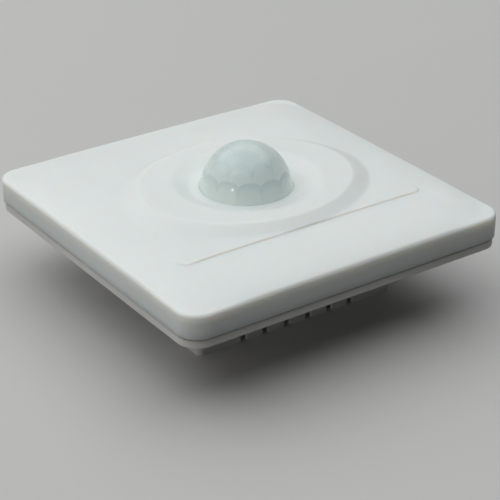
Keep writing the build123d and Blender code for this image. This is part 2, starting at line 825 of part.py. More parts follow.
with BuildPart() as signal_chip_pins:
    with BuildSketch(Plane.XY.offset(sensor_board_top)):
        with Locations((chip_x, chip_y)):
            with GridLocations(chip_pin_pitch, chip_width + chip_pin_reach, chip_pin_count, 2):
                Rectangle(chip_pin_width, chip_pin_reach + 2 * chip_pin_thickness)
    extrude(amount=chip_pin_thickness)
signal_chip_pins.part.label = "signal_chip_pins"
export_step(signal_chip_pins.part, "parts/signal_chip_pins.step")

with BuildPart() as signal_capacitors:
    with BuildSketch(Plane.XY.offset(sensor_board_top)):
        with Locations(*signal_capacitor_places):
            Circle(signal_capacitor_radius)
    extrude(amount=signal_capacitor_height)
    fillet(signal_capacitors.faces().filter_by(Plane.XY).edges(), chip_chamfer)
signal_capacitors.part.label = "signal_capacitors"
export_step(signal_capacitors.part, "parts/signal_capacitors.step")

resistor_x = resistor_side_distance - sensor_board_width / 2 + resistor_pitch_x
resistor_y = resistor_bottom_distance - sensor_board_height / 2
with BuildPart() as surface_resistors:
    with BuildSketch(Plane.XY.offset(sensor_board_top)):
        with Locations((resistor_x, resistor_y)):
            with GridLocations(
                resistor_pitch_x, resistor_pitch_y, resistor_columns, resistor_rows
            ):
                Rectangle(resistor_length, resistor_width)
    extrude(amount=resistor_height)
surface_resistors.part.label = "surface_resistors"
export_step(surface_resistors.part, "parts/surface_resistors.step")

# Two trimmers: a square body with a round well, and a slotted rotor that turns in it
trimmers = {"time_trimmer": trimmer_y, "lux_trimmer": -trimmer_y}
trimmer_top_level = sensor_board_top + trimmer_height
rotor_low_level = trimmer_top_level - trimmer_well_depth + trimmer_seat_gap
rotor_top_level = rotor_low_level + trimmer_rotor_height
for trimmer_name, place in trimmers.items():
    with BuildPart() as trimmer_body:
        with BuildSketch(Plane.XY.offset(sensor_board_top)):
            with Locations((trimmer_x, place)):
                RectangleRounded(trimmer_size, trimmer_size, trimmer_edge_radius)
        extrude(amount=trimmer_height)
        with BuildSketch(Plane.XY.offset(trimmer_top_level)):
            with Locations((trimmer_x, place)):
                Circle(trimmer_well_radius)
        extrude(amount=-trimmer_well_depth, mode=Mode.SUBTRACT)
        with BuildSketch(Plane.XY.offset(trimmer_top_level)):
            with Locations((trimmer_x, place)):
                Circle(trimmer_shaft_radius + trimmer_shaft_gap)
        extrude(amount=-(trimmer_well_depth + trimmer_shaft_depth), mode=Mode.SUBTRACT)
    trimmer_body.part.label = trimmer_name + "_body"
    export_step(trimmer_body.part, "parts/" + trimmer_name + "_body.step")

    with BuildPart() as trimmer_rotor:
        with BuildSketch(Plane.XY.offset(rotor_low_level)):
            with Locations((trimmer_x, place)):
                Circle(trimmer_well_radius - trimmer_rotor_gap)
        extrude(amount=trimmer_rotor_height)
        with BuildSketch(Plane.XY.offset(rotor_low_level)):
            with Locations((trimmer_x, place)):
                Circle(trimmer_shaft_radius)
        extrude(amount=-(trimmer_shaft_depth - trimmer_seat_gap))
        with BuildSketch(Plane.XY.offset(rotor_top_level)):
            with Locations((trimmer_x, place)):
                Rectangle(trimmer_slot_width, trimmer_slot_length)
                Rectangle(trimmer_slot_length, trimmer_slot_width)
            with Locations((trimmer_x, place + trimmer_arrow_distance)):
                Rectangle(trimmer_arrow_width, trimmer_arrow_length)
        extrude(amount=-trimmer_slot_depth, mode=Mode.SUBTRACT)
    trimmer_rotor.part.label = trimmer_name + "_rotor"
    export_step(trimmer_rotor.part, "parts/" + trimmer_name + "_rotor.step")

# Places on the back of the power board
inner_half_width = housing_inner_width / 2
inner_half_height = housing_inner_height / 2
diode_depth = diode_length + 2 * (diode_lead_reach + lead_radius)
row_room = housing_inner_height - relay_width - film_width - diode_depth - 2 * fuse_radius
column_room = inner_half_width - block_right - relay_length - 2 * reservoir_radius
relay_x = block_right + column_room * column_gap_shares[0] + relay_length / 2
relay_y = inner_half_height - row_room * row_gap_shares[0] - relay_width / 2
relay_lead_places = [
    (relay_x + side * relay_lead_spacing_x / 2, relay_y + level * relay_lead_spacing_y / 2)
    for side, level in ((-1, -1), (-1, 1), (1, -1), (1, 1), (0, 1))
]
film_x = inner_half_width - film_wall_gap - film_length / 2
film_y = relay_y - relay_width / 2 - row_room * row_gap_shares[1] - film_width / 2
film_lead_places = [
    (film_x - film_lead_spacing / 2, film_y),
    (film_x + film_lead_spacing / 2, film_y),
]
reservoir_x = inner_half_width - column_room * column_gap_shares[2] - reservoir_radius
reservoir_lead_places = [
    (reservoir_x - reservoir_lead_spacing / 2, relay_y),
    (reservoir_x + reservoir_lead_spacing / 2, relay_y),
]
diode_y = film_y - film_width / 2 - row_room * row_gap_shares[2] - diode_depth / 2
varistor_x = block_right + varistor_block_gap + varistor_radius
varistor_lead_places = [
    (varistor_x - varistor_lead_spacing / 2, diode_y),
    (varistor_x + varistor_lead_spacing / 2, diode_y),
]
diode_start = varistor_x + varistor_radius + diode_varistor_gap + diode_radius
diode_places = [diode_start + index * diode_pitch for index in range(diode_count)]
diode_level = power_board_back - diode_raise - diode_radius
diode_lead_places = [
    (place, diode_y + side * (diode_length / 2 + diode_lead_reach))
    for place in diode_places
    for side in (-1, 1)
]
fuse_y = row_room * row_gap_shares[-1] + fuse_radius - inner_half_height
fuse_level = power_board_back - fuse_raise - fuse_radius
fuse_lead_places = [
    (side * (fuse_length / 2 + fuse_lead_reach), fuse_y) for side in (-1, 1)
]
board_lead_places = (
    relay_lead_places
    + film_lead_places
    + reservoir_lead_places
    + varistor_lead_places
    + fuse_lead_places
    + diode_lead_places
)

# Connector between the two boards: socket above, header below, pins through both
header_x = frame_opening_width / 2 - header_side_distance
header_y = (diode_y - diode_depth / 2 + fuse_y) / 2
header_places = [
    (header_x + (index - (header_pin_count - 1) / 2) * header_pitch, header_y)
    for index in range(header_pin_count)
]
socket_length = header_pin_count * header_pitch
header_top_level = power_board_top + header_height
with BuildPart() as board_socket:
    with BuildSketch(Plane.XY.offset(header_top_level + header_split)):
        with Locations((header_x, header_y)):
            Rectangle(socket_length, header_depth)
        with Locations(*header_places):
            Circle(header_pin_radius + header_pin_gap, mode=Mode.SUBTRACT)
    extrude(amount=board_gap - header_height - header_split)
board_socket.part.label = "board_socket"
export_step(board_socket.part, "parts/board_socket.step")

with BuildPart() as board_header:
    with BuildSketch(Plane.XY.offset(power_board_top)):
        with Locations((header_x, header_y)):
            Rectangle(socket_length, header_depth)
        with Locations(*header_places):
            Circle(header_pin_radius + header_pin_gap, mode=Mode.SUBTRACT)
    extrude(amount=header_height)
board_header.part.label = "board_header"
export_step(board_header.part, "parts/board_header.step")

with BuildPart() as header_pins:
    with BuildSketch(Plane.XY.offset(power_board_back - lead_tail)):
        with Locations(*header_places):
            Circle(header_pin_radius)
    extrude(amount=lead_tail + board_thickness + header_height + header_pin_insertion)
header_pins.part.label = "header_pins"
export_step(header_pins.part, "parts/header_pins.step")

# Power board
with BuildPart() as power_board:
    with BuildSketch(Plane.XY.offset(power_board_back)):
        RectangleRounded(
            housing_inner_width - 2 * power_board_gap,
            housing_inner_height - 2 * power_board_gap,
            housing_inner_radius,
        )
        with GridLocations(2 * post_x, 2 * post_y, 2, 2):
            Circle(housing_screw_radius + housing_hole_gap, mode=Mode.SUBTRACT)
        with Locations(*board_lead_places):
            Circle(lead_hole_radius, mode=Mode.SUBTRACT)
        with Locations(*header_places):
            Circle(header_pin_radius + header_pin_gap, mode=Mode.SUBTRACT)
        for place in terminal_places:
            with Locations((busbar_left + busbar_thickness / 2, place)):
                Rectangle(
                    busbar_thickness + 2 * lead_gap,
                    busbar_width + 2 * lead_gap,
                    mode=Mode.SUBTRACT,
                )
    extrude(amount=board_thickness)
power_board.part.label = "power_board"
export_step(power_board.part, "parts/power_board.step")

# Relay that switches the lamp
with BuildPart() as relay_case:
    with BuildSketch(Plane.XY.offset(housing_floor_level + relay_floor_gap)):
        with Locations((relay_x, relay_y)):
            Rectangle(relay_length, relay_width)
    extrude(amount=power_room - relay_floor_gap - seat_gap)
    fillet(relay_case.faces().sort_by(Axis.Z)[0].edges(), relay_edge_radius)
relay_case.part.label = "relay_case"
export_step(relay_case.part, "parts/relay_case.step")

with BuildPart() as relay_pins:
    with BuildSketch(Plane.XY.offset(power_board_back - seat_gap)):
        with Locations(*relay_lead_places):
            Circle(lead_radius)
    extrude(amount=seat_gap + board_thickness + lead_tail)
relay_pins.part.label = "relay_pins"
export_step(relay_pins.part, "parts/relay_pins.step")

# Film capacitor that drops the mains voltage
with BuildPart() as film_capacitor:
    with BuildSketch(Plane.XY.offset(housing_floor_level + film_floor_gap)):
        with Locations((film_x, film_y)):
            Rectangle(film_length, film_width)
    extrude(amount=power_room - film_floor_gap - seat_gap)
    fillet(film_capacitor.faces().sort_by(Axis.Z)[0].edges(), film_edge_radius)
film_capacitor.part.label = "film_capacitor"
export_step(film_capacitor.part, "parts/film_capacitor.step")

with BuildPart() as film_capacitor_leads:
    with BuildSketch(Plane.XY.offset(power_board_back - seat_gap)):
        with Locations(*film_lead_places):
            Circle(lead_radius)
    extrude(amount=seat_gap + board_thickness + lead_tail)
film_capacitor_leads.part.label = "film_capacitor_leads"
export_step(film_capacitor_leads.part, "parts/film_capacitor_leads.step")

# Reservoir capacitor: a can with the pressed groove near its leads
with BuildPart() as reservoir_capacitor:
    with BuildSketch(Plane.XY.offset(housing_floor_level + reservoir_floor_gap)):
        with Locations((reservoir_x, relay_y)):
            Circle(reservoir_radius)
    extrude(amount=power_room - reservoir_floor_gap - seat_gap)
    with BuildSketch(Plane.XY.offset(power_board_back - 2 * reservoir_groove_height)):
        with Locations((reservoir_x, relay_y)):
            Circle(reservoir_radius)
            Circle(reservoir_radius - reservoir_base_groove, mode=Mode.SUBTRACT)
    extrude(amount=reservoir_groove_height, mode=Mode.SUBTRACT)
reservoir_capacitor.part.label = "reservoir_capacitor"
export_step(reservoir_capacitor.part, "parts/reservoir_capacitor.step")

with BuildPart() as reservoir_capacitor_leads:
    with BuildSketch(Plane.XY.offset(power_board_back - seat_gap)):
        with Locations(*reservoir_lead_places):
            Circle(lead_radius)
    extrude(amount=seat_gap + board_thickness + lead_tail)
reservoir_capacitor_leads.part.label = "reservoir_capacitor_leads"
export_step(reservoir_capacitor_leads.part, "parts/reservoir_capacitor_leads.step")

# Varistor: a coated disc on edge, with two straight leads
varistor_level = power_board_back - varistor_raise - varistor_radius
varistor_plane = Plane(
    origin=(varistor_x, diode_y, varistor_level), x_dir=(1, 0, 0), z_dir=(0, -1, 0)
)
with BuildPart() as varistor:
    with BuildSketch(varistor_plane):
        Circle(varistor_radius)
    extrude(amount=varistor_thickness / 2, both=True)
    fillet(varistor.edges().filter_by(GeomType.CIRCLE), varistor_edge_radius)
varistor.part.label = "varistor"
export_step(varistor.part, "parts/varistor.step")

varistor_lead_drop = (varistor_radius**2 - (varistor_lead_spacing / 2 - lead_radius) ** 2) ** 0.5
with BuildPart() as varistor_leads:
    with BuildSketch(Plane.XY.offset(varistor_level + varistor_lead_drop + seat_gap)):
        with Locations(*varistor_lead_places):
            Circle(lead_radius)
    extrude(amount=lead_tip_level - varistor_level - varistor_lead_drop - seat_gap)
varistor_leads.part.label = "varistor_leads"
export_step(varistor_leads.part, "parts/varistor_leads.step")

# Fuse: a glass tube between two metal caps with leads
fuse_plane = plane_at_x(0)
with BuildPart() as fuse_tube:
    with BuildSketch(fuse_plane):
        with Locations((fuse_y, fuse_level)):
            Circle(fuse_radius - fuse_cap_wall)
    extrude(amount=fuse_length / 2 - fuse_cap_wall - seat_gap, both=True)
fuse_tube.part.label = "fuse_tube"
export_step(fuse_tube.part, "parts/fuse_tube.step")

with BuildPart() as fuse_caps:
    for side in (-1, 1):
        with BuildSketch(plane_at_x(side * fuse_length / 2)):
            with Locations((fuse_y, fuse_level)):
                Circle(fuse_radius)
        extrude(amount=-side * fuse_cap_length)
        with BuildSketch(plane_at_x(side * (fuse_length / 2 - fuse_cap_wall))):
            with Locations((fuse_y, fuse_level)):
                Circle(fuse_radius - fuse_cap_wall + seat_gap)
        extrude(amount=-side * fuse_cap_length, mode=Mode.SUBTRACT)
        lead_start = side * (fuse_length / 2 - fuse_cap_wall / 2)
        lead_end = side * (fuse_length / 2 + fuse_lead_reach)
        with BuildLine(Plane(origin=(0, fuse_y, 0), x_dir=(1, 0, 0), z_dir=(0, -1, 0))):
            FilletPolyline(
                (lead_start, fuse_level),
                (lead_end, fuse_level),
                (lead_end, lead_tip_level),
                radius=lead_bend_radius,
            )
        with BuildSketch(Plane(origin=(lead_start, fuse_y, fuse_level), z_dir=(side, 0, 0))):
            Circle(lead_radius)
        sweep()
fuse_caps.part.label = "fuse_caps"
export_step(fuse_caps.part, "parts/fuse_caps.step")

# Four rectifier diodes side by side, each with bent leads
diode_plane = Plane(origin=(0, diode_y, 0), x_dir=(1, 0, 0), z_dir=(0, -1, 0))
with BuildPart() as rectifier_diodes:
    with BuildSketch(diode_plane):
        for place in diode_places:
            with Locations((place, diode_level)):
                Circle(diode_radius)
    extrude(amount=diode_length / 2, both=True)
rectifier_diodes.part.label = "rectifier_diodes"
export_step(rectifier_diodes.part, "parts/rectifier_diodes.step")

with BuildPart() as diode_leads:
    for side in (-1, 1):
        lead_start = diode_y + side * (diode_length / 2 + seat_gap)
        lead_end = diode_y + side * (diode_length / 2 + diode_lead_reach)
        for place in diode_places:
            with BuildLine(plane_at_x(place)):
                FilletPolyline(
                    (lead_start, diode_level),
                    (lead_end, diode_level),
                    (lead_end, lead_tip_level),
                    radius=lead_bend_radius,
                )
            with BuildSketch(Plane(origin=(place, lead_start, diode_level), z_dir=(0, side, 0))):
                Circle(lead_radius)
            sweep()
diode_leads.part.label = "diode_leads"
export_step(diode_leads.part, "parts/diode_leads.step")

# Terminal block: one chamber for each clamp, open towards the board
with BuildPart() as terminal_block:
    with BuildSketch(Plane.XY.offset(block_low)):
        with Locations(((block_left + block_right) / 2, 0)):
            Rectangle(terminal_block_length, 2 * block_half_length)
    extrude(amount=block_high - block_low)
    with BuildSketch(Plane.XY.offset(chamber_low)):
        for place in terminal_places:
            with Locations(((chamber_left + chamber_right) / 2, place)):
                Rectangle(chamber_right - chamber_left, 2 * chamber_half_width)
    extrude(amount=chamber_high - chamber_low, mode=Mode.SUBTRACT)
    # Slots for the busbars and the wires
    with BuildSketch(Plane.XY.offset(chamber_high - overrun)):
        for place in terminal_places:
            with Locations((busbar_left + busbar_thickness / 2, place)):
                Rectangle(busbar_thickness + 2 * lead_gap, busbar_width + 2 * lead_gap)
    extrude(amount=terminal_wall + 2 * overrun, mode=Mode.SUBTRACT)
    with BuildSketch(Plane.XY.offset(block_low)):
        for place in terminal_places:
            with Locations((wire_x, place)):
                Circle(wire_hole_radius)
    extrude(amount=terminal_wall, mode=Mode.SUBTRACT)
    # Recesses for the screw heads and holes through the webs
    with BuildSketch(plane_at_x(block_left)):
        for place in terminal_places:
            with Locations((place, terminal_level)):
                Circle(terminal_head_radius + terminal_head_gap)
    extrude(amount=web_left - block_left, mode=Mode.SUBTRACT)
    with BuildSketch(plane_at_x(block_left)):
        for place in terminal_places:
            with Locations((place, terminal_level)):
                Circle(terminal_screw_radius + terminal_web_gap)
    extrude(amount=chamber_left - block_left, mode=Mode.SUBTRACT)
terminal_block.part.label = "terminal_block"
export_step(terminal_block.part, "parts/terminal_block.step")

# Busbars: straight brass strips from the clamps up through the power board
with BuildPart() as terminal_busbars:
    with BuildSketch(Plane.XY.offset(clamp_low)):
        for place in terminal_places:
            with Locations((busbar_left + busbar_thickness / 2, place)):
                Rectangle(busbar_thickness, busbar_width)
    extrude(amount=lead_tip_level - clamp_low)
terminal_busbars.part.label = "terminal_busbars"
export_step(terminal_busbars.part, "parts/terminal_busbars.step")

# Screws and rising clamps: the screw draws the clamp, and the wire in it, to the busbar
for index, place in enumerate(terminal_places, start=1):
    with BuildPart() as terminal_screw:
        with BuildSketch(plane_at_x(head_left)):
            with Locations((place, terminal_level)):
                Circle(terminal_head_radius)
        extrude(amount=terminal_head_height)
        with BuildSketch(plane_at_x(head_left)):
            with Locations((place, terminal_level)):
                Circle(terminal_screw_radius)
        extrude(amount=busbar_left - seat_gap - head_left)
        with BuildSketch(plane_at_x(head_left)):
            with Locations((place, terminal_level)):
                Rectangle(2 * terminal_head_radius, terminal_slot_width)
        extrude(amount=terminal_slot_depth, mode=Mode.SUBTRACT)
    terminal_screw.part.label = "terminal_screw_" + str(index)
    export_step(terminal_screw.part, "parts/terminal_screw_" + str(index) + ".step")

    with BuildPart() as terminal_clamp:
        with BuildSketch(Plane.XY.offset(clamp_low)):
            with Locations(((clamp_left + clamp_right) / 2, place)):
                Rectangle(clamp_length, 2 * clamp_half_width)
                Rectangle(
                    clamp_length - 2 * clamp_plate,
                    2 * (clamp_half_width - clamp_side_wall),
                    mode=Mode.SUBTRACT,
                )
        extrude(amount=clamp_high - clamp_low)
        with BuildSketch(plane_at_x(clamp_left)):
            with Locations((place, terminal_level)):
                Circle(terminal_screw_radius + terminal_thread_gap)
        extrude(amount=clamp_plate, mode=Mode.SUBTRACT)
    terminal_clamp.part.label = "terminal_clamp_" + str(index)
    export_step(terminal_clamp.part, "parts/terminal_clamp_" + str(index) + ".step")
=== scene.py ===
import json
import math

import bpy
import numpy as np
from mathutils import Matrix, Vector, geometry


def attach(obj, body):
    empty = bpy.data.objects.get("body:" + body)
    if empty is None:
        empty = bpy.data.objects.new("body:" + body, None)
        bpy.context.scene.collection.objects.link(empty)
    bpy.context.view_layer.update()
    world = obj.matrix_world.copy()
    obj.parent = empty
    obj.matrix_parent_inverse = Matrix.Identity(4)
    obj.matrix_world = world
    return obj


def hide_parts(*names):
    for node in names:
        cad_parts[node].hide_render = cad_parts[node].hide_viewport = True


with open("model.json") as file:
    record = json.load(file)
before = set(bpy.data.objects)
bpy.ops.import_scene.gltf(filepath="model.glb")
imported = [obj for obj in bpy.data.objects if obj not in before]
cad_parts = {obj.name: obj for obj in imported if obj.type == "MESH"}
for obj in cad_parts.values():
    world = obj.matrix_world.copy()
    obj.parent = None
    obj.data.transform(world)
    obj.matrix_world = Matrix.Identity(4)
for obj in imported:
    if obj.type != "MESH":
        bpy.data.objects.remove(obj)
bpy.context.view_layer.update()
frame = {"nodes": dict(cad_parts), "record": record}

nodes = frame["nodes"]
mm = 0.001
tiny = 1e-9
print("stage: frame loaded,", len(nodes), "nodes")


def addToScene(name, data):
    item = bpy.data.objects.new(name, data)
    bpy.context.scene.collection.objects.link(item)
    return item


def standAt(item, place, away):
    # Puts a camera or lamp at a place, looking against the direction away
    item.location = place
    item.rotation_mode = "QUATERNION"
    item.rotation_quaternion = (-away).to_track_quat("-Z", "Y")


# Camera, at the photograph's viewing angle. Aim and distance are in millimetres
cameraValues = {
    "azimuth": -34.88,
    "elevation": 27.51,
    "distance": 375.71,
    "aim": (-6.49, -11.95, 0.0),
    "lens": 118.26,
    "sensor": 36.0,
    "clip": (0.01, 20.0),
}


def makeCamera(v):
    az, el = math.radians(v["azimuth"]), math.radians(v["elevation"])
    back = Vector((math.sin(az) * math.cos(el), -math.cos(az) * math.cos(el), math.sin(el)))
    data = bpy.data.cameras.new("photoCamera")
    data.lens, data.sensor_width = v["lens"], v["sensor"]
    data.clip_start, data.clip_end = v["clip"]
    camera = addToScene("photoCamera", data)
    standAt(camera, (Vector(v["aim"]) + back * v["distance"]) * mm, back)
    bpy.context.scene.camera = camera


makeCamera(cameraValues)
print("stage: camera")


def plug(value, socket):
    if isinstance(value, Wire):
        value.tree.links.new(value.socket, socket)
    else:
        socket.default_value = value


def feed(node, **inputs):
    # Sets a node's inputs by name, with _ for each space
    for name, value in inputs.items():
        plug(value, node.inputs[name.replace("_", " ")])


def addNode(tree, kind, settings=None, **inputs):
    node = tree.nodes.new(kind)
    for name, value in (settings or {}).items():
        setattr(node, name, value)
    feed(node, **inputs)
    return node


def outOf(node, name=0):
    return Wire(node.id_data, node.outputs[name])


# Sums on sockets, for node trees of both kinds
class Wire:
    def __init__(self, tree, socket):
        self.tree, self.socket = tree, socket

    def math(self, operation, *others):
        node = addNode(self.tree, "ShaderNodeMath", {"operation": operation})
        for place, value in enumerate((self, *others)):
            plug(value, node.inputs[place])
        return outOf(node)

    def __add__(self, other):
        return self.math("ADD", other)

    def __sub__(self, other):
        return self.math("SUBTRACT", other)

    def __mul__(self, other):
        return self.math("MULTIPLY", other)

    def __truediv__(self, other):
        return self.math("DIVIDE", other)

    def __abs__(self):
        return self.math("ABSOLUTE")

    def flip(self):
        return self * -1.0 + 1.0

    def over(self, level):
        return self.math("GREATER_THAN", level)

    def ramp(self, low, high, toLow=0.0, toHigh=1.0, smooth=True):
        kind = "SMOOTHSTEP" if smooth else "LINEAR"
        return outOf(addNode(
            self.tree, "ShaderNodeMapRange", {"interpolation_type": kind},
            Value=self, From_Min=low, From_Max=high, To_Min=toLow, To_Max=toHigh,
        ))


def splitXyz(vector):
    parts = addNode(vector.tree, "ShaderNodeSeparateXYZ")
    plug(vector, parts.inputs[0])
    return [outOf(parts, axis) for axis in "XYZ"]


def joinXyz(tree, x=0.0, y=0.0, z=0.0):
    return outOf(addNode(tree, "ShaderNodeCombineXYZ", X=x, Y=y, Z=z))


def vectorMath(operation, *vectors, **inputs):
    node = addNode(vectors[0].tree, "ShaderNodeVectorMath", {"operation": operation}, **inputs)
    for place, vector in enumerate(vectors):
        plug(vector, node.inputs[place])
    return outOf(node)


# Where noise mostly lies
noiseSpan = (0.3, 0.7)


def objectPoint(tree):
    return outOf(addNode(tree, "ShaderNodeTexCoord"), "Object")


def splitPoint(tree, centre=(0.0, 0.0, 0.0)):
    # Object coordinates in millimetres, counted from a centre
    return [part * 1000.0 - middle for part, middle in zip(splitXyz(objectPoint(tree)), centre)]


def normalZ(tree):
    return splitXyz(outOf(addNode(tree, "ShaderNodeNewGeometry"), "Normal"))[2]


def noise(tree, scale, detail=2.0, roughness=0.5, point=None, distortion=0.0):
    return outOf(addNode(
        tree, "ShaderNodeTexNoise", {"noise_dimensions": "3D"}, Detail=detail, Roughness=roughness,
        Distortion=distortion, Scale=scale, Vector=point or objectPoint(tree),
    ), "Fac")


def voronoi(tree, settings=None, **inputs):
    cells = addNode(tree, "ShaderNodeTexVoronoi", settings, Vector=objectPoint(tree), **inputs)
    return outOf(cells, "Distance")


def chanceAt(x, y):
    # One random value for each square of a unit grid
    spot = joinXyz(x.tree, x.math("FLOOR"), y.math("FLOOR"))
    return outOf(addNode(x.tree, "ShaderNodeTexWhiteNoise", {"noise_dimensions": "2D"}, Vector=spot), "Value")


# Shader node groups that several finishes share
def newShaderGroup(name, inputs, outputs):
    tree = bpy.data.node_groups.new(name, "ShaderNodeTree")
    for label, value in inputs.items():
        socket = tree.interface.new_socket(name=label, in_out="INPUT", socket_type="NodeSocketFloat")
        socket.default_value = value
    for label in outputs:
        tree.interface.new_socket(name=label, in_out="OUTPUT", socket_type="NodeSocketFloat")
    entry = tree.nodes.new("NodeGroupInput")
    leave = tree.nodes.new("NodeGroupOutput")
    return tree, {label: outOf(entry, label) for label in inputs}, leave


def makeMouldedGroup():
    # Moulded plastic: fine spark grain, slow flow marks and faint sink marks
    tree, given, leave = newShaderGroup(
        "mouldedPlastic",
        {"Grain per metre": 4200.0, "Flow per metre": 38.0, "Sink share": 0.3},
        ("Height", "Tone", "Sheen spread"),
    )
    grain = noise(tree, given["Grain per metre"], detail=3.0, roughness=0.62)
    flow = noise(tree, given["Flow per metre"], detail=3.0, roughness=0.45, distortion=0.6)
    sink = noise(tree, given["Flow per metre"] * 2.3, detail=1.0)
    feed(leave, Height=grain + sink * given["Sink share"], Tone=flow.ramp(*noiseSpan))
    feed(leave, Sheen_spread=grain * 0.35 + flow * 0.65)
    return tree


def makeDustGroup():
    # Dust that settles where a face looks along +Z, thin and patchy
    tree, given, leave = newShaderGroup("settledDust", {"Amount": 0.1, "Specks per metre": 2600.0}, ("Mask",))
    patch = noise(tree, 60.0, detail=4.0, roughness=0.6).ramp(0.42, 0.75)
    speck = noise(tree, given["Specks per metre"], detail=1.0).ramp(0.6, 0.72)
    feed(leave, Mask=normalZ(tree).ramp(0.2, 0.95) * given["Amount"] * (patch * 0.5 + speck * 0.5))
    return tree


def makeDrawnGroup():
    # Drawn or rolled metal: fine lines along one direction and scattered rub marks
    tree, given, leave = newShaderGroup(
        "drawnMetal", {"Lines per metre": 5200.0, "Stretch": 14.0}, ("Height", "Tone", "Rub"),
    )
    x, y, z = splitXyz(objectPoint(tree))
    lines = noise(tree, given["Lines per metre"], point=joinXyz(tree, x, y, z * given["Stretch"]))
    rub = noise(tree, 420.0, detail=4.0, roughness=0.65).ramp(0.45, 0.7)
    feed(leave, Height=lines, Tone=lines * 0.6 + rub * 0.4, Rub=rub)
    return tree


groups = {"moulded": makeMouldedGroup(), "dust": makeDustGroup(), "drawn": makeDrawnGroup()}


def useGroup(tree, name, **inputs):
    return addNode(tree, "ShaderNodeGroup", {"node_tree": groups[name]}, **inputs)


def shaderOf(material):
    return material.node_tree.nodes["Principled BSDF"]


finishes = {}


def makeFinish(name, draw, v):
    # A material that draw fills in. The inputs under fixed are set as they are
    material = bpy.data.materials.new(name)
    material.use_nodes = True
    feed(shaderOf(material), **v.get("fixed", {}))
    draw(material.node_tree, shaderOf(material), v)
    finishes[name] = material


def mixColour(share, low, high):
    node = addNode(share.tree, "ShaderNodeMix", {"data_type": "RGBA", "clamp_factor": True})
    for place, value in ((0, share), (6, low), (7, high)):
        plug(value if isinstance(value, Wire) else (*value, 1.0), node.inputs[place])
    return outOf(node, 2)


def paintOver(material, share, colour):
    # Lays a colour over the one that the shader has
    shader = shaderOf(material)
    under = Wire(share.tree, shader.inputs["Base Color"].links[0].from_socket)
    feed(shader, Base_Color=mixColour(share, under, colour))


def bump(shader, height, depth, edge=0.0):
    # Relief of a depth, on corners that look rounded to the radius edge, both in millimetres
    node = addNode(height.tree, "ShaderNodeBump", Strength=1.0, Distance=depth * mm, Height=height)
    if edge:
        feed(node, Normal=outOf(addNode(height.tree, "ShaderNodeBevel", {"samples": 4}, Radius=edge * mm)))
    feed(shader, Normal=outOf(node, "Normal"))


# Plastics: a row of values for each, in the order of the keys. Grain is per metre, height in
# millimetres, glow is a depth in metres
plasticKeys = ("colour", "tone", "rough", "grain", "height", "glow", "dust")
plasticValues = {
    "coverWhite": ((0.80, 0.838, 0.818), (0.825, 0.857, 0.833), (0.34, 0.46), 4200.0, 0.0016, 0.0035, 0.04),
    "frameWhite": ((0.74, 0.74, 0.72), (0.79, 0.78, 0.76), (0.42, 0.56), 3200.0, 0.004, 0.0010, 0.05),
    "housingWhite": ((0.70, 0.70, 0.68), (0.77, 0.76, 0.74), (0.46, 0.62), 2600.0, 0.006, 0.0010, 0.05),
    "ringWhite": ((0.66, 0.66, 0.64), (0.74, 0.73, 0.71), (0.42, 0.58), 3000.0, 0.004, 0.0008, 0.03),
    "rotorWhite": ((0.70, 0.69, 0.64), (0.78, 0.77, 0.73), (0.38, 0.5), 5200.0, 0.002, 0.0006, 0.03),
    "blackPlastic": ((0.012, 0.012, 0.013), (0.035, 0.034, 0.034), (0.42, 0.62), 5200.0, 0.004, 0.0, 0.06),
    "trimmerBlue": ((0.022, 0.085, 0.36), (0.045, 0.13, 0.46), (0.36, 0.5), 4800.0, 0.003, 0.0, 0.04),
    "relayBlue": ((0.010, 0.055, 0.24), (0.022, 0.085, 0.33), (0.22, 0.38), 3800.0, 0.002, 0.0, 0.04),
    "filmYellow": ((0.62, 0.38, 0.03), (0.72, 0.48, 0.05), (0.22, 0.36), 3000.0, 0.002, 0.0, 0.04),
    "terminalGreen": ((0.018, 0.17, 0.055), (0.04, 0.25, 0.09), (0.38, 0.54), 3600.0, 0.004, 0.0, 0.04),
}
# What all plastics have, and the cover's own: its edges are in its mesh
plasticCommon = {
    "edge": 0.12,
    "glowShare": 0.25,
    "glowReach": (1.0, 0.8, 0.65),
    "dustColour": (0.45, 0.43, 0.40),
}
plasticOwn = {"coverWhite": {"edge": 0.0, "glowShare": 1.0}}


def drawPlastic(tree, shader, v):
    moulded = useGroup(tree, "moulded", Grain_per_metre=v["grain"])
    dust = outOf(useGroup(tree, "dust", Amount=v["dust"]), "Mask")
    colour = mixColour(outOf(moulded, "Tone"), v["colour"], v["tone"])
    sheen = outOf(moulded, "Sheen spread").ramp(*noiseSpan, *v["rough"], smooth=False)
    feed(shader, Base_Color=mixColour(dust, colour, v["dustColour"]), Roughness=sheen)
    bump(shader, outOf(moulded, "Height"), v["height"], v["edge"])
    if v["glow"]:
        feed(shader, Subsurface_Weight=v["glowShare"], Subsurface_Scale=v["glow"])
        feed(shader, Subsurface_Radius=v["glowReach"])


metalKeys = ("colour", "tone", "rough", "lines", "height")
metalValues = {
    "screwSteel": ((0.52, 0.53, 0.54), (0.70, 0.70, 0.69), (0.22, 0.42), 2600.0, 0.0015),
    "sensorCan": ((0.50, 0.48, 0.43), (0.66, 0.64, 0.58), (0.24, 0.4), 3600.0, 0.0015),
    "leadTin": ((0.56, 0.56, 0.54), (0.74, 0.74, 0.72), (0.2, 0.4), 4200.0, 0.001),
    "brass": ((0.56, 0.36, 0.10), (0.74, 0.54, 0.20), (0.2, 0.38), 3600.0, 0.0012),
    "clampSteel": ((0.42, 0.42, 0.40), (0.60, 0.60, 0.58), (0.26, 0.46), 2600.0, 0.002),
}
metalCommon = {"edge": 0.06, "fixed": {"Metallic": 1.0}}


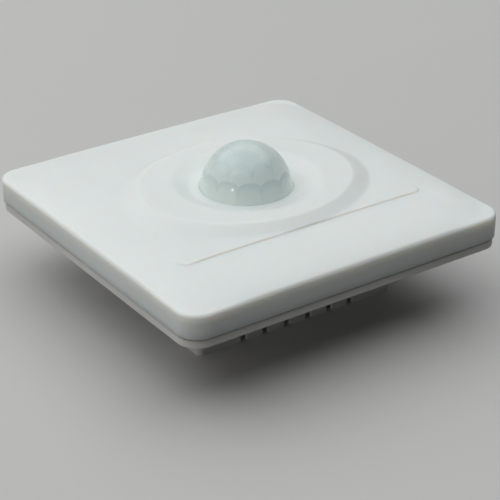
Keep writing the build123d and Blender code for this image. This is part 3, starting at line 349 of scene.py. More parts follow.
def drawMetal(tree, shader, v):
    drawn = useGroup(tree, "drawn", Lines_per_metre=v["lines"])
    sheen = outOf(drawn, "Rub").ramp(0.0, 1.0, *v["rough"], smooth=False)
    feed(shader, Base_Color=mixColour(outOf(drawn, "Tone"), v["colour"], v["tone"]), Roughness=sheen)
    bump(shader, outOf(drawn, "Height"), v["height"], v["edge"])


for name, row in plasticValues.items():
    makeFinish(name, drawPlastic, {**plasticCommon, **dict(zip(plasticKeys, row)), **plasticOwn.get(name, {})})
for name, row in metalValues.items():
    makeFinish(name, drawMetal, {**metalCommon, **dict(zip(metalKeys, row))})

boardValues = {
    "mask": (0.008, 0.115, 0.045),
    "track": (0.022, 0.21, 0.085),
    "laminate": (0.42, 0.36, 0.16),
    "tin": (0.62, 0.62, 0.58),
    "grime": (0.40, 0.39, 0.36),
    "grimeAmount": 0.08,
    "rough": (0.24, 0.42),
    "fixed": {"Coat Weight": 0.3, "Coat Roughness": 0.2},
    "relief": 0.03,
    "block": 5.2,
    "pitch": 1.27,
    "trackShare": 0.34,
    "viaPitch": 4.6,
    "viaRadius": 0.36,
}


def drawBoard(tree, shader, v):
    # Solder mask over tracks that run along X or Y, block by block, with tinned vias
    x, y, z = splitPoint(tree)
    chance = chanceAt(x / v["block"], y / v["block"])
    turn = chance.over(0.5)
    across = x * turn + y * turn.flip()
    half, r = v["trackShare"] / 2, v["viaRadius"]
    track = abs((across / v["pitch"]).math("FRACT") - 0.5).ramp(half + 0.05, half) * chance.ramp(0.2, 0.24)
    via = voronoi(tree, {"voronoi_dimensions": "2D"}, Scale=1.0 / (v["viaPitch"] * mm), Randomness=0.8)
    away = via * v["viaPitch"]
    ring = away.ramp(r + 0.03, r) * away.ramp(r * 0.4, r * 0.5)
    face = abs(normalZ(tree)).over(0.5)
    colour = mixColour(ring, mixColour(track, v["mask"], v["track"]), v["tin"])
    grime = outOf(useGroup(tree, "dust", Amount=v["grimeAmount"]), "Mask")
    weave = noise(tree, 2400.0)
    feed(
        shader, Base_Color=mixColour(grime, mixColour(face, v["laminate"], colour), v["grime"]),
        Roughness=weave.ramp(*noiseSpan, *v["rough"]), Metallic=ring * face * 0.9,
    )
    bump(shader, track * face + weave * 0.25, v["relief"])


photocellValues = {
    "centre": (7.65, -1.1, 8.6),
    "pitch": 0.52,
    "reach": 1.45,
    "film": (0.50, 0.085, 0.022),
    "electrode": (0.66, 0.62, 0.55),
    "body": (0.72, 0.60, 0.40),
    "stain": (0.30, 0.16, 0.06),
    "rough": (0.10, 0.22),
    "fixed": {"Coat Weight": 0.7},
    "relief": 0.01,
    "edge": 0.12,
}


def drawPhotocell(tree, shader, v):
    # Ceramic disc under clear resin, with a light-sensitive track in bends on its face
    x, y, z = splitPoint(tree, v["centre"])
    across, top = x / v["pitch"], z.over(-0.2)
    side = abs(across.math("FLOOR").math("MODULO", 2.0)) * 2.0 - 1.0
    gap = abs(across.math("FRACT") - 0.5).ramp(0.30, 0.34)
    bend = (y * side).ramp(v["reach"] - 0.08, v["reach"])
    inside = abs(y).ramp(v["reach"] + 0.42, v["reach"] + 0.36)
    film = gap.math("MAXIMUM", bend) * inside * top
    stain = noise(tree, 900.0, detail=3.0).ramp(0.35, 0.7)
    face = mixColour(top, v["body"], mixColour(film, v["electrode"], v["film"]))
    feed(
        shader, Base_Color=mixColour(stain * 0.25, face, v["stain"]),
        Roughness=noise(tree, 1500.0).ramp(*noiseSpan, *v["rough"]),
    )
    bump(shader, film + stain * 0.3, v["relief"], v["edge"])


windowValues = {
    "low": (0.035, 0.022, 0.045),
    "high": (0.10, 0.075, 0.12),
    "rough": (0.05, 0.16),
    "fixed": {"Coat Weight": 1.0, "Coat Roughness": 0.06},
    "relief": 0.0004,
}


def drawWindow(tree, shader, v):
    # Coated infrared filter: dark, glossy, with a violet cast and slight sleeks
    cast = noise(tree, 260.0, detail=3.0, distortion=0.8).ramp(*noiseSpan)
    sleek = noise(tree, 5200.0)
    feed(
        shader, Base_Color=mixColour(cast, v["low"], v["high"]), Roughness=sleek.ramp(0.4, 0.7, *v["rough"]),
        Metallic=cast * 0.3 + 0.5,
    )
    bump(shader, sleek, v["relief"])


glassValues = {
    "colour": (0.93, 0.96, 0.95),
    "tone": (0.86, 0.92, 0.90),
    "rough": (0.02, 0.09),
    "lines": 1800.0,
    "relief": 0.0006,
    "fixed": {"Transmission Weight": 1.0, "IOR": 1.47},
}


def drawGlass(tree, shader, v):
    # Clear fuse glass with faint drawn lines
    drawn = useGroup(tree, "drawn", Lines_per_metre=v["lines"])
    feed(
        shader, Base_Color=mixColour(outOf(drawn, "Tone"), v["colour"], v["tone"]),
        Roughness=outOf(drawn, "Rub").ramp(0.0, 1.0, *v["rough"]),
    )
    bump(shader, outOf(drawn, "Height"), v["relief"])


# The places are centre and rim radius of the upper pair of capacitors and of the lower one
sleeveValues = {
    "sleeve": (0.010, 0.011, 0.016),
    "tone": (0.030, 0.032, 0.042),
    "stripe": (0.62, 0.63, 0.64),
    "metal": (0.66, 0.66, 0.66),
    "rough": (0.24, 0.38),
    "places": ((20.5, -1.1, 1.75), (17.43, 11.46, 3.7)),
    "dashPitch": 1.3,
    "relief": 0.12,
    "edge": 0.2,
}


def drawSleeve(tree, shader, v):
    # Shrunk sleeve with a pale stripe down one side. The ends inside it are bare metal with a scored cross
    x, y, z = splitPoint(tree)
    low = z.math("LESS_THAN", 0.0)
    middleX, middleY, rim = [low * (under - upper) + upper for upper, under in zip(*v["places"])]
    offX, offY = abs(x) - middleX, y - middleY
    reach = (offX * offX + offY * offY).math("SQRT")
    end = abs(normalZ(tree)).over(0.7) * (rim - reach).over(0.0)
    stripe = (offX - offY * 0.4).ramp(1.0, 1.15) * end.flip()
    dash = (z / v["dashPitch"]).math("FRACT").ramp(0.55, 0.6) * abs(offY).ramp(0.55, 0.5)
    score = abs(offX).math("MINIMUM", abs(offY)).ramp(0.16, 0.06) * end
    moulded = useGroup(tree, "moulded", Grain_per_metre=5200.0)
    colour = mixColour(outOf(moulded, "Tone"), v["sleeve"], v["tone"])
    colour = mixColour(stripe * (dash * -0.8 + 1.0), colour, v["stripe"])
    feed(
        shader, Base_Color=mixColour(end, colour, v["metal"]), Metallic=end * 0.95,
        Roughness=outOf(moulded, "Sheen spread").ramp(*noiseSpan, *v["rough"]),
    )
    bump(shader, outOf(moulded, "Height") * 0.1 - score, v["relief"], v["edge"])


varistorValues = {
    "low": (0.02, 0.075, 0.30),
    "high": (0.05, 0.14, 0.42),
    "rough": (0.14, 0.30),
    "relief": 0.25,
    "edge": 0.2,
}


def drawVaristor(tree, shader, v):
    # Dipped epoxy: a wavy glossy skin with pits
    wave = noise(tree, 420.0, detail=3.0, distortion=0.5)
    pit = voronoi(tree, Scale=1500.0).ramp(0.22, 0.1)
    feed(shader, Base_Color=mixColour(wave.ramp(*noiseSpan), v["low"], v["high"]))
    feed(shader, Roughness=wave.ramp(*noiseSpan, *v["rough"]))
    bump(shader, wave - pit * 0.15, v["relief"], v["edge"])


caseValues = {
    "relayBlue": {"centre": (-0.66, 11.46, -13.0), "size": (5.6, 2.4), "ink": (0.62, 0.64, 0.66)},
    "filmYellow": {"centre": (17.5, 0.8, -12.6), "size": (3.6, 0.9), "ink": (0.05, 0.05, 0.05)},
}
strokePitch, strokeFade = 0.42, 0.02


def printMarks(material, v):
    # Rating lines printed on the end of a case, with no words or signs
    x, y, z = splitPoint(material.node_tree, v["centre"])
    width, height = v["size"]
    rowOf = y / (height / 1.5)
    line = rowOf.math("FRACT").ramp(0.42, 0.46) * abs(y).ramp(height + strokeFade, height)
    stroke = chanceAt(x / strokePitch, rowOf).ramp(0.34, 0.36) * abs(x).ramp(width + strokeFade, width)
    paintOver(material, line * stroke * z.math("LESS_THAN", 0.0) * 0.85, v["ink"])


# Painted shade along the step in the cover's face: where it lies, how far it reaches, its width and strength
stepShadeLine = {
    "line": (0.0, -25.15, 9.0),
    "half": 31.5,
    "fade": 2.5,
    "width": 0.28,
    "share": 0.36,
    "warm": (0.62, 0.50, 0.43),
}


def paintStepShadeLine(material, v):
    # Painted shade: a thin warm dark line along the step in the cover's face
    x, y, z = splitPoint(material.node_tree, v["line"])
    mark = abs(y).ramp(v["width"], 0.0) * abs(x).ramp(v["half"], v["half"] - v["fade"]) * z.over(0.0)
    paintOver(material, mark * v["share"], v["warm"])


paintStepShadeLine(finishes["coverWhite"], stepShadeLine)
makeFinish("boardGreen", drawBoard, boardValues)
makeFinish("photocellFace", drawPhotocell, photocellValues)
makeFinish("sensorWindow", drawWindow, windowValues)
makeFinish("fuseGlass", drawGlass, glassValues)
makeFinish("capacitorSleeve", drawSleeve, sleeveValues)
makeFinish("varistorBlue", drawVaristor, varistorValues)
for name, v in caseValues.items():
    printMarks(finishes[name], v)
print("stage: plastics, metals and special finishes,", len(finishes))


# Geometry node trees. Each takes a mesh, follows its rule and sets the material
def newGeometryTree(name, inputs):
    tree = bpy.data.node_groups.new(name, "GeometryNodeTree")
    tree.interface.new_socket(name="Geometry", in_out="INPUT", socket_type="NodeSocketGeometry")
    kinds = {bool: "Bool", int: "Int", float: "Float", tuple: "Vector", type(None): "Material"}
    for label, value in inputs.items():
        kind = "NodeSocket" + kinds[type(value)]
        socket = tree.interface.new_socket(name=label, in_out="INPUT", socket_type=kind)
        if value is not None:
            socket.default_value = value
    tree.interface.new_socket(name="Geometry", in_out="OUTPUT", socket_type="NodeSocketGeometry")
    entry, leave = tree.nodes.new("NodeGroupInput"), tree.nodes.new("NodeGroupOutput")
    return tree, {label: outOf(entry, label) for label in ("Geometry", *inputs)}, leave


def endTree(tree, given, leave, shape):
    made = addNode(tree, "GeometryNodeRealizeInstances", Geometry=shape)
    dressed = addNode(tree, "GeometryNodeSetMaterial", Geometry=outOf(made), Material=given["Material"])
    feed(leave, Geometry=outOf(dressed))
    return tree


def growPiece(name, seed, tree, values):
    # Runs a tree on a seed object and keeps the result as a plain mesh
    modifier = seed.modifiers.new("rule", "NODES")
    modifier.node_group = tree
    for item in tree.interface.items_tree:
        if item.item_type == "SOCKET" and item.in_out == "INPUT" and item.name in values:
            modifier[item.identifier] = values[item.name]
    seed.update_tag()
    graph = bpy.context.evaluated_depsgraph_get()
    grown = seed.evaluated_get(graph)
    mesh = bpy.data.meshes.new_from_object(grown, preserve_all_data_layers=True, depsgraph=graph)
    bpy.data.objects.remove(seed)
    mesh.name = name
    return addToScene(name, mesh)


def copyOn(points, shape, turn):
    turned = outOf(addNode(points.tree, "FunctionNodeEulerToRotation", Euler=turn))
    return outOf(addNode(
        points.tree, "GeometryNodeInstanceOnPoints", Points=points, Instance=shape, Rotation=turned,
    ))


def copyRow(tree, given, count, x, y, turn):
    # Copies of the seed, counted from the tree's place and turned about Z
    place = vectorMath("ADD", joinXyz(tree, x, y), given["Place"])
    points = outOf(addNode(tree, "GeometryNodePoints", Count=count, Position=place))
    return copyOn(points, given["Geometry"], joinXyz(tree, z=turn))


def makeGridTree():
    # Copies in columns and rows, centred on a place. Every second row may be turned round
    tree, given, leave = newGeometryTree("copiesInGrid", {
        "Columns": 1, "Rows": 1, "Pitch X": 1.0, "Pitch Y": 1.0, "Place": (0.0, 0.0, 0.0), "Turn": 0.0,
        "Material": None,
    })
    index = outOf(addNode(tree, "GeometryNodeInputIndex"))
    row = (index / given["Columns"] + 0.001).math("FLOOR")
    x = (index - row * given["Columns"] - (given["Columns"] - 1.0) * 0.5) * given["Pitch X"]
    y = (row - (given["Rows"] - 1.0) * 0.5) * given["Pitch Y"]
    copies = copyRow(tree, given, given["Columns"] * given["Rows"], x, y, row * given["Turn"])
    return endTree(tree, given, leave, copies)


def makeRingTree():
    # Copies round a circle, each turned to face outwards
    tree, given, leave = newGeometryTree(
        "copiesInRing", {"Count": 3, "Radius": 1.0, "Start": 0.0, "Place": (0.0, 0.0, 0.0), "Material": None},
    )
    index = outOf(addNode(tree, "GeometryNodeInputIndex"))
    angle = index / given["Count"] * (2 * math.pi) + given["Start"]
    x, y = angle.math("COSINE") * given["Radius"], angle.math("SINE") * given["Radius"]
    return endTree(tree, given, leave, copyRow(tree, given, given["Count"], x, y, angle))


def makeJointTree():
    # A soldered joint on every point of the seed: a cone drawn in to a waist
    tree, given, leave = newGeometryTree("solderJoints", {
        "Foot radius": 0.9, "Tip radius": 0.3, "Height": 1.0, "Waist share": 0.5, "Side": 1.0, "Material": None,
    })
    cone = addNode(
        tree, "GeometryNodeMeshCone", {"fill_type": "NGON"}, Vertices=20, Side_Segments=7,
        Radius_Top=given["Tip radius"], Radius_Bottom=given["Foot radius"], Depth=given["Height"],
    )
    x, y, z = splitXyz(outOf(addNode(tree, "GeometryNodeInputPosition")))
    share = z / given["Height"]
    pull = share * (share - 1.0) * 4.0 * given["Waist share"] * 0.5 + 1.0
    shaped = joinXyz(tree, x * pull, y * pull, z)
    drawn = outOf(addNode(tree, "GeometryNodeSetPosition", Geometry=outOf(cone), Position=shaped))
    over = joinXyz(tree, (given["Side"] - 1.0) * (-0.5 * math.pi))
    return endTree(tree, given, leave, copyOn(given["Geometry"], drawn, over))


trees = {"grid": makeGridTree(), "ring": makeRingTree(), "joints": makeJointTree()}
print("stage: geometry trees,", len(trees))


# Shapes and their meshes, in millimetres
def softMin(a, b, softness):
    return 0.5 * (a + b - np.sqrt((a - b) ** 2 + softness * softness))


def smoothStep(t):
    t = np.clip(t, 0.0, 1.0)
    return t * t * (3.0 - 2.0 * t)


def easedRamp(t, ease):
    # From 0 to 1 at an even slope, with rounded ends
    t = np.clip(t, 0.0, 1.0)
    start, end = t * t / (2 * ease), (1 - ease) - (1 - t) ** 2 / (2 * ease)
    return np.where(t < ease, start, np.where(t > 1 - ease, end, t - ease / 2)) / (1 - ease)


def roundedDistance(x, y, half, low, high, radius):
    # Distance outside a rounded rectangle, negative inside
    qx = np.abs(x) - (half - radius)
    qy = np.abs(y - (low + high) / 2) - ((high - low) / 2 - radius)
    return np.hypot(np.maximum(qx, 0), np.maximum(qy, 0)) + np.minimum(np.maximum(qx, qy), 0) - radius


def roundedRing(half, radius, inset, corner, side, leastRadius=0.35):
    # Points round a rounded square, inset from it, with a count for each corner and each side
    points = []
    r = max(radius - inset, leastRadius)
    edge = half - inset - r
    centres = ((edge, -edge), (edge, edge), (-edge, edge), (-edge, -edge))
    for turn, (x, y) in enumerate(centres):
        a0 = turn * math.pi / 2
        for step in range(corner):
            a = a0 - math.pi / 2 + math.pi / 2 * step / corner
            points.append((x + r * math.cos(a), y + r * math.sin(a)))
        nextX, nextY = centres[(turn + 1) % 4]
        start = (x + r * math.cos(a0), y + r * math.sin(a0))
        end = (nextX + r * math.cos(a0), nextY + r * math.sin(a0))
        points += [tuple(s + (e - s) * step / side for s, e in zip(start, end)) for step in range(side)]
    return points


def ovalRing(a, b, x, y, count):
    angles = [2 * math.pi * i / count for i in range(count)]
    return [(x + a * math.cos(angle), y + b * math.sin(angle)) for angle in angles]


def circleAt(radius, z, count):
    return [(x, y, z) for x, y in ovalRing(radius, radius, 0.0, 0.0, count)]


def triangulate(rings, extra, keep):
    # Triangles over rings and loose points, with the rings kept as edges
    points, edges = [], []
    for ring in rings:
        start = len(points)
        points.extend(ring)
        edges.extend((start + i, start + (i + 1) % len(ring)) for i in range(len(ring)))
    points.extend(extra)
    made = geometry.delaunay_2d_cdt([Vector(p) for p in points], edges, [], 0, 1e-5)
    flat = np.array([tuple(p) for p in made[0]])
    faces = []
    for face in made[2]:
        cx, cy = flat[list(face)].mean(axis=0)
        if keep(cx, cy):
            a, b, c = (flat[i] for i in face[:3])
            turned = (b[0] - a[0]) * (c[1] - a[1]) - (b[1] - a[1]) * (c[0] - a[0])
            faces.append(list(face) if turned > 0 else list(face)[::-1])
    return flat, faces


def newPiece(name, verts, faces, material, smooth=True):
    mesh = bpy.data.meshes.new(name)
    mesh.from_pydata([tuple(c * mm for c in p) for p in verts], [], [list(f) for f in faces])
    mesh.polygons.foreach_set("use_smooth", [smooth] * len(mesh.polygons))
    mesh.materials.append(material)
    mesh.update()
    return addToScene(name, mesh)


def joinLoops(loops):
    # Quads between rings of equal length, or triangles where one of them is a point
    faces = []
    for low, high in zip(loops, loops[1:]):
        count = max(len(low), len(high))
        for i in range(count if count > 1 else 0):
            j = (i + 1) % count
            if len(low) == 1:
                faces.append((low[0], high[j], high[i]))
            elif len(high) == 1:
                faces.append((low[i], low[j], high[0]))
            else:
                faces.append((low[i], low[j], high[j], high[i]))
    return faces


class Shell:
    # Gathers the vertices and faces of one piece
    def __init__(self):
        self.verts, self.faces = [], []

    def add(self, verts, faces=()):
        start = len(self.verts)
        self.verts.extend(verts)
        self.faces.extend([tuple(i + start for i in f) for f in faces])
        return list(range(start, len(self.verts)))

    def stack(self, loops, capped=True):
        # A tube through loops that are already in the shell, from the lowest up
        self.faces += joinLoops(loops)
        if capped:
            self.faces += [tuple(reversed(loops[0])), tuple(loops[-1])]

    def box(self, low, high, taper=0.0):
        (x0, y0, z0), (x1, y1, z1) = low, high
        t = taper
        verts = [
            (x0 + t, y0 + t, z0), (x1 - t, y0 + t, z0), (x1 - t, y1 - t, z0), (x0 + t, y1 - t, z0),
            (x0, y0, z1), (x1, y0, z1), (x1, y1, z1), (x0, y1, z1),
        ]
        self.add(verts, [(3, 2, 1, 0), (4, 5, 6, 7), (0, 1, 5, 4), (1, 2, 6, 5), (2, 3, 7, 6), (3, 0, 4, 7)])

    def turned(self, profile, centre, count, closed=False):
        # Turns a profile of (radius, level) about Z. It runs round the material anticlockwise
        cx, cy, cz = centre
        loops = []
        for radius, level in profile:
            ring = circleAt(radius, level, count) if radius > tiny else [(0.0, 0.0, level)]
            loops.append(self.add([(x + cx, y + cy, z + cz) for x, y, z in ring]))
        self.faces += joinLoops(loops + loops[:1] if closed else loops)


def dress(piece, body, replaced=()):
    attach(piece, body)
    if replaced:
        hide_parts(*replaced)
    print("stage:", piece.name, len(piece.data.polygons), "faces")
    return piece


# Front cover: crown, step, oval mound, dish
coverValues = {
    "half": 43.0,
    "corner": 5.3,
    "edgeRadius": 0.8,
    "edgeLevel": 8.0,
    "cushionRise": 2.0,
    "cushionSquareness": 7.0,
    "cushionFlatness": 6.5,
    "stepLine": -25.2,
    "stepWidth": 0.32,
    "stepDrop": 0.30,
    "stepFade": 15.0,
    "stepHalf": 33.2,
    "stepTop": 60.0,
    "stepCorner": 2.6,
    "stepEnd": 4.5,
    "moundFoot": (31.6, 25.3, 0.2, -0.3),
    "moundTop": (26.1, 22.0, 1.05, 0.5),
    "moundLevel": 11.4,
    "moundEase": 0.16,
    "dishEase": 0.2,
    "lensY": -1.1,
    "dishFloor": 10.5,
    "dishFloorRadius": 13.2,
    "crestRadius": 18.2,
    "crestPlace": (1.1, 0.27),
    "holeRadius": 11.08,
    "skin": 1.8,
    "wall": 2.0,
    "wallInside": (6.2, 1.1, 0.35),
    "base": 2.1,
    "baseEdge": 0.25,
}
lensY = coverValues["lensY"]


def ovalReach(x, y, oval):
    # 1 on an oval, less inside it
    a, b, cx, cy = oval
    return np.sqrt(((x - cx) / a) ** 2 + ((y - cy) / b) ** 2)


def coverLevel(x, y, v=coverValues):
    # Height of the cover's front, without the rounding of its outer edge
    power = v["cushionSquareness"]
    reach = (np.abs(x) ** power + np.abs(y) ** power) ** (1 / power) / v["half"]
    level = v["edgeLevel"] + v["cushionRise"] * (1 - np.minimum(reach, 1.0) ** v["cushionFlatness"])
    line = v["stepLine"]
    outside = roundedDistance(x, y, v["stepHalf"], line, v["stepTop"], v["stepCorner"])
    fading = 1 - smoothStep(np.where(y < line, (line - y) / v["stepFade"], (y - line) / v["stepEnd"]))
    sideways = 1 - smoothStep((np.abs(x) - v["stepHalf"]) / v["stepEnd"])
    level = level - v["stepDrop"] * smoothStep(outside / v["stepWidth"] + 0.5) * fading * sideways
    foot, top = ovalReach(x, y, v["moundFoot"]), ovalReach(x, y, v["moundTop"])
    inner, outer = np.maximum(1.0 - foot, 0.0), np.maximum(top - 1.0, 0.0)
    share = np.where(foot < 1.0, inner / np.maximum(inner + outer, tiny), 0.0)
    share = easedRamp(share, v["moundEase"]) * smoothStep((y - line) / v["stepWidth"] + 0.5)
    mound = level + (v["moundLevel"] - level) * share
    lens = np.hypot(x, y - v["lensY"])
    crest = np.hypot(x - v["crestPlace"][0], y - v["crestPlace"][1])
    within, beyond = np.maximum(v["crestRadius"] - crest, 0.0), np.maximum(lens - v["dishFloorRadius"], 0.0)
    share = np.where(crest < v["crestRadius"], beyond / np.maximum(within + beyond, tiny), 1.0)
    return mound + (v["dishFloor"] - mound) * (1 - easedRamp(share, v["dishEase"]))


# How the cover's mesh is laid out: insets from the outline, radii round the lens, and spacings
coverMesh = {
    "ring": (20, 60),
    "arcSteps": 7,
    "insets": (1.9, 2.8, 3.8, 4.8),
    "holeSteps": (0.0, 0.12, 0.4, 1.0, 1.7),
    "dishRadii": (*np.arange(13.8, 19.6, 0.3), 20.0, 20.7),
    "dishCount": 192,
    "moundShares": np.linspace(-0.15, 1.15, 15),
    "moundCount": 200,
    "stepPlaces": np.arange(-36.5, 36.6, 0.6),
    "stepAcross": (-0.75, -0.45, -0.3, -0.2, -0.1, 0.0, 0.1, 0.2, 0.3, 0.45, 0.75),
    "curlAngles": np.linspace(0, 90, 16),
    "curlAcross": (-0.6, -0.3, -0.15, 0.0, 0.15, 0.3, 0.6),
    "field": (-37.0, 37.1),
    "fieldPitch": (1.05, 1.05 * 0.87),
    "fieldInset": 5.7,
    "wallShares": (0.33, 0.66),
    "wallAngles": (0, 30, 60, 90),
    "backInsets": (2.6, 3.6, 5.0),
    "backRadii": (12.6, 13.5, 14.2, 14.8, 15.4, 16.2, 17.0, 17.8, 18.6, 19.4, 20.4),
    "backCount": 128,
    "backPitch": (1.7, 1.5),
    "backInset": 5.6,
    "backFree": 21.3,
}


def fieldPoints(pitch, half, keep):
    # Loose points in staggered rows, inside a rounded square
    low, high = coverMesh["field"]
    for i, y in enumerate(np.arange(low, high, pitch[1])):
        for x in np.arange(low, high, pitch[0]) + (pitch[0] / 2 if i % 2 else 0.0):
            if keep(x, y) and roundedDistance(x, y, half, -half, half, 2.0) < 0:
                yield x, y


def lensRing(radius, count):
    return ovalRing(radius, radius, 0.0, lensY, count)


def makeCover(v, m):
    half, corner, r, line, hole = v["half"], v["corner"], v["edgeRadius"], v["stepLine"], v["holeRadius"]

    def outlineAt(inset):
        return roundedRing(half, corner, inset, *m["ring"])

    def outsideHole(x, y):
        return math.hypot(x, y - lensY) > hole - 0.02

    arc = [r * (1 - math.cos(math.pi / 2 * i / m["arcSteps"])) for i in range(m["arcSteps"] + 1)]
    outlines = [outlineAt(inset) for inset in (*arc, *m["insets"])]
    dishRadii = (*(hole + step for step in m["holeSteps"]), *m["dishRadii"])
    dish = [lensRing(radius, m["dishCount"]) for radius in dishRadii]
    foot, top = np.array(v["moundFoot"]), np.array(v["moundTop"])
    loose = []
    for share in m["moundShares"]:
        loose += ovalRing(*(foot + (top - foot) * share), m["moundCount"])
    loose += [(x, line + d) for x in m["stepPlaces"] for d in m["stepAcross"]]
    for side in (-1, 1):
        cx, cy, cr = side * (v["stepHalf"] - v["stepCorner"]), line + v["stepCorner"], v["stepCorner"]
        for a in m["curlAngles"]:
            for d in m["curlAcross"]:
                loose.append((
                    cx + side * (cr + d) * math.sin(math.radians(a)), cy - (cr + d) * math.cos(math.radians(a)),
                ))

    def isPlain(x, y):
        # Away from the step, the dish and the mound's slope, which have points of their own
        lens = math.hypot(x, y - lensY)
        if abs(y - line) < 1.0 or 11.0 < lens < 21.0 or lens < 12.0:
            return False
        return not (ovalReach(x, y, v["moundFoot"]) < 1.04 and ovalReach(x, y, v["moundTop"]) > 0.98)

    loose += fieldPoints(m["fieldPitch"], half - m["fieldInset"], isPlain)
    flat, faces = triangulate(outlines + dish, loose, outsideHole)
    x, y = flat[:, 0], flat[:, 1]
    bend = np.clip(r + roundedDistance(x, y, half, -half, half, corner), 0.0, r)
    z = coverLevel(x, y) - (r - np.sqrt(np.maximum(r * r - bend * bend, 0.0)))
    shell = Shell()
    shell.add([tuple(p) for p in np.column_stack((x, y, z))], faces)

    def ringAt(points, levels):
        return shell.add([(*p, z) for p, z in zip(points, levels)])

    # Side wall, lower edge and inner wall
    outline = len(outlines[0])
    walls = [list(range(outline))]
    topEdge = [p[2] for p in shell.verts[:outline]]
    e, base, wall = v["baseEdge"], v["base"], v["wall"]
    for share in m["wallShares"]:
        walls.append(ringAt(outlines[0], [t + (base + e - t) * share for t in topEdge]))
    turn = [math.radians(a) for a in m["wallAngles"]]
    steps = [(e * (1 - math.cos(a)), base + e * (1 - math.sin(a))) for a in turn]
    for inset, level in (*steps, (wall - e, base), (wall, base + e)):
        walls.append(ringAt(outlineAt(inset), [level] * outline))
    shell.stack([list(reversed(loop)) for loop in walls], capped=False)
    # Inner skin: follows the front at the skin's thickness
    innerRings = [outlineAt(inset) for inset in (wall, *m["backInsets"])]
    backRings = [lensRing(hole, m["dishCount"])]
    backRings += [lensRing(radius, m["backCount"]) for radius in m["backRadii"]]
    loose = fieldPoints(
        m["backPitch"], half - m["backInset"], lambda x, y: math.hypot(x, y - lensY) > m["backFree"],
    )
    flat, faces = triangulate(innerRings + backRings, loose, outsideHole)
    x, y = flat[:, 0], flat[:, 1]
    depth = -roundedDistance(x, y, half, -half, half, corner)
    start, slope, softness = v["wallInside"]
    level = softMin(coverLevel(x, y) - v["skin"], start + slope * (depth - wall), softness)
    back = shell.add([tuple(p) for p in np.column_stack((x, y, level))], [f[::-1] for f in faces])
    shell.stack([list(reversed(walls[-1])), list(reversed(back[:outline]))], capped=False)
    # Wall of the lens hole
    front, behind = sum(len(ring) for ring in outlines), sum(len(ring) for ring in innerRings)
    count = m["dishCount"]
    shell.stack([list(range(front, front + count)), back[behind : behind + count]], capped=False)
    return shell


hookValues = {
    "rows": [(-32.0, -34.4), (0.0, -34.4), (32.0, -34.4), (0.0, 34.4)],
    "columns": [(-34.4, 27.0), (34.4, 27.0)],
    "width": 4.0,
    "thick": 1.6,
    "tip": 0.5,
    "lead": 0.35,
    "leadHeight": 0.6,
    "root": 0.4,
    "rib": 0.45,
    "ribDepth": 1.6,
    "ribLow": 3.4,
}
bossValues = {"circle": 15.35, "radius": 1.9, "bore": 1.01, "low": 7.4, "high": 9.6, "count": 3, "edge": 0.15}


def addHooks(shell, v):
    for places, size in ((v["rows"], (v["width"], v["thick"])), (v["columns"], (v["thick"], v["width"]))):
        for x, y in places:
            w, d = size[0] / 2, size[1] / 2
            top = float(coverLevel(np.array([x]), np.array([y]))[0]) - coverValues["skin"] + v["root"]
            low, rib = v["tip"] + v["leadHeight"], v["rib"]
            shell.box((x - w, y - d, v["tip"]), (x + w, y + d, low), taper=v["lead"])
            shell.box((x - w, y - d, low), (x + w, y + d, top))
            if places is v["rows"]:
                side = -1 if y < 0 else 1
                rear = y + side * (d + v["ribDepth"]) + rib
                shell.box((x - rib, y + side * d - rib, v["ribLow"]), (x + rib, rear, top))


def addBosses(shell, v):
    bore, radius, low, high, e = v["bore"], v["radius"], v["low"], v["high"], v["edge"]
    profile = [(bore, high - 0.1), (bore, low), (radius - e, low), (radius, low + e), (radius + 0.1, high)]
    profile += [(0.0, high), (0.0, high - 0.1), (bore, high - 0.1)]
    for i in range(v["count"]):
        a = math.radians(-90 + 360 * i / v["count"])
        shell.turned(profile, (v["circle"] * math.cos(a), lensY + v["circle"] * math.sin(a), 0.0), 28)


coverShell = makeCover(coverValues, coverMesh)
addHooks(coverShell, hookValues)
addBosses(coverShell, bossValues)
frontCover = newPiece("frontCover", coverShell.verts, coverShell.faces, finishes["coverWhite"])
dress(frontCover, "cover", ("front_cover",))

# Lens dome, in millimetres and degrees. Each row of cells: count, first boundary, valley and peak height
lensValues = {
    "centre": 10.4,
    "radius": 10.65,
    "wall": 0.7,
    "footRadius": 10.95,
    "footLevel": 10.6,
    "backLevel": 8.65,
    "flangeRadius": 12.95,
    "flangeLevel": 7.4,
    "flangeEdge": 0.15,
    "around": 360,
    "up": 150,
    "upInside": 24,
    "coneSteps": 10,
    "rows": [
        {"count": 12, "start": -165.0, "valley": 20.0, "peak": 27.5},
        {"count": 10, "start": -116.0, "valley": 40.0, "peak": 51.5},
        {"count": 6, "start": -157.0, "valley": 66.0, "peak": 70.0},
    ],
    "groove": 0.016,
    "bulge": 0.022,
    "grooveWidth": 0.5,
    "cellReach": 2.4,
    "shadeAngle": 13.0,
    "seed": 7,
}


def tangentAngle(v, radius, footRadius):
    # Where a cone from the foot meets the ball
    reach = math.hypot(footRadius, v["centre"] - v["footLevel"])
    return math.acos(radius / reach) - math.atan2(v["centre"] - v["footLevel"], footRadius)


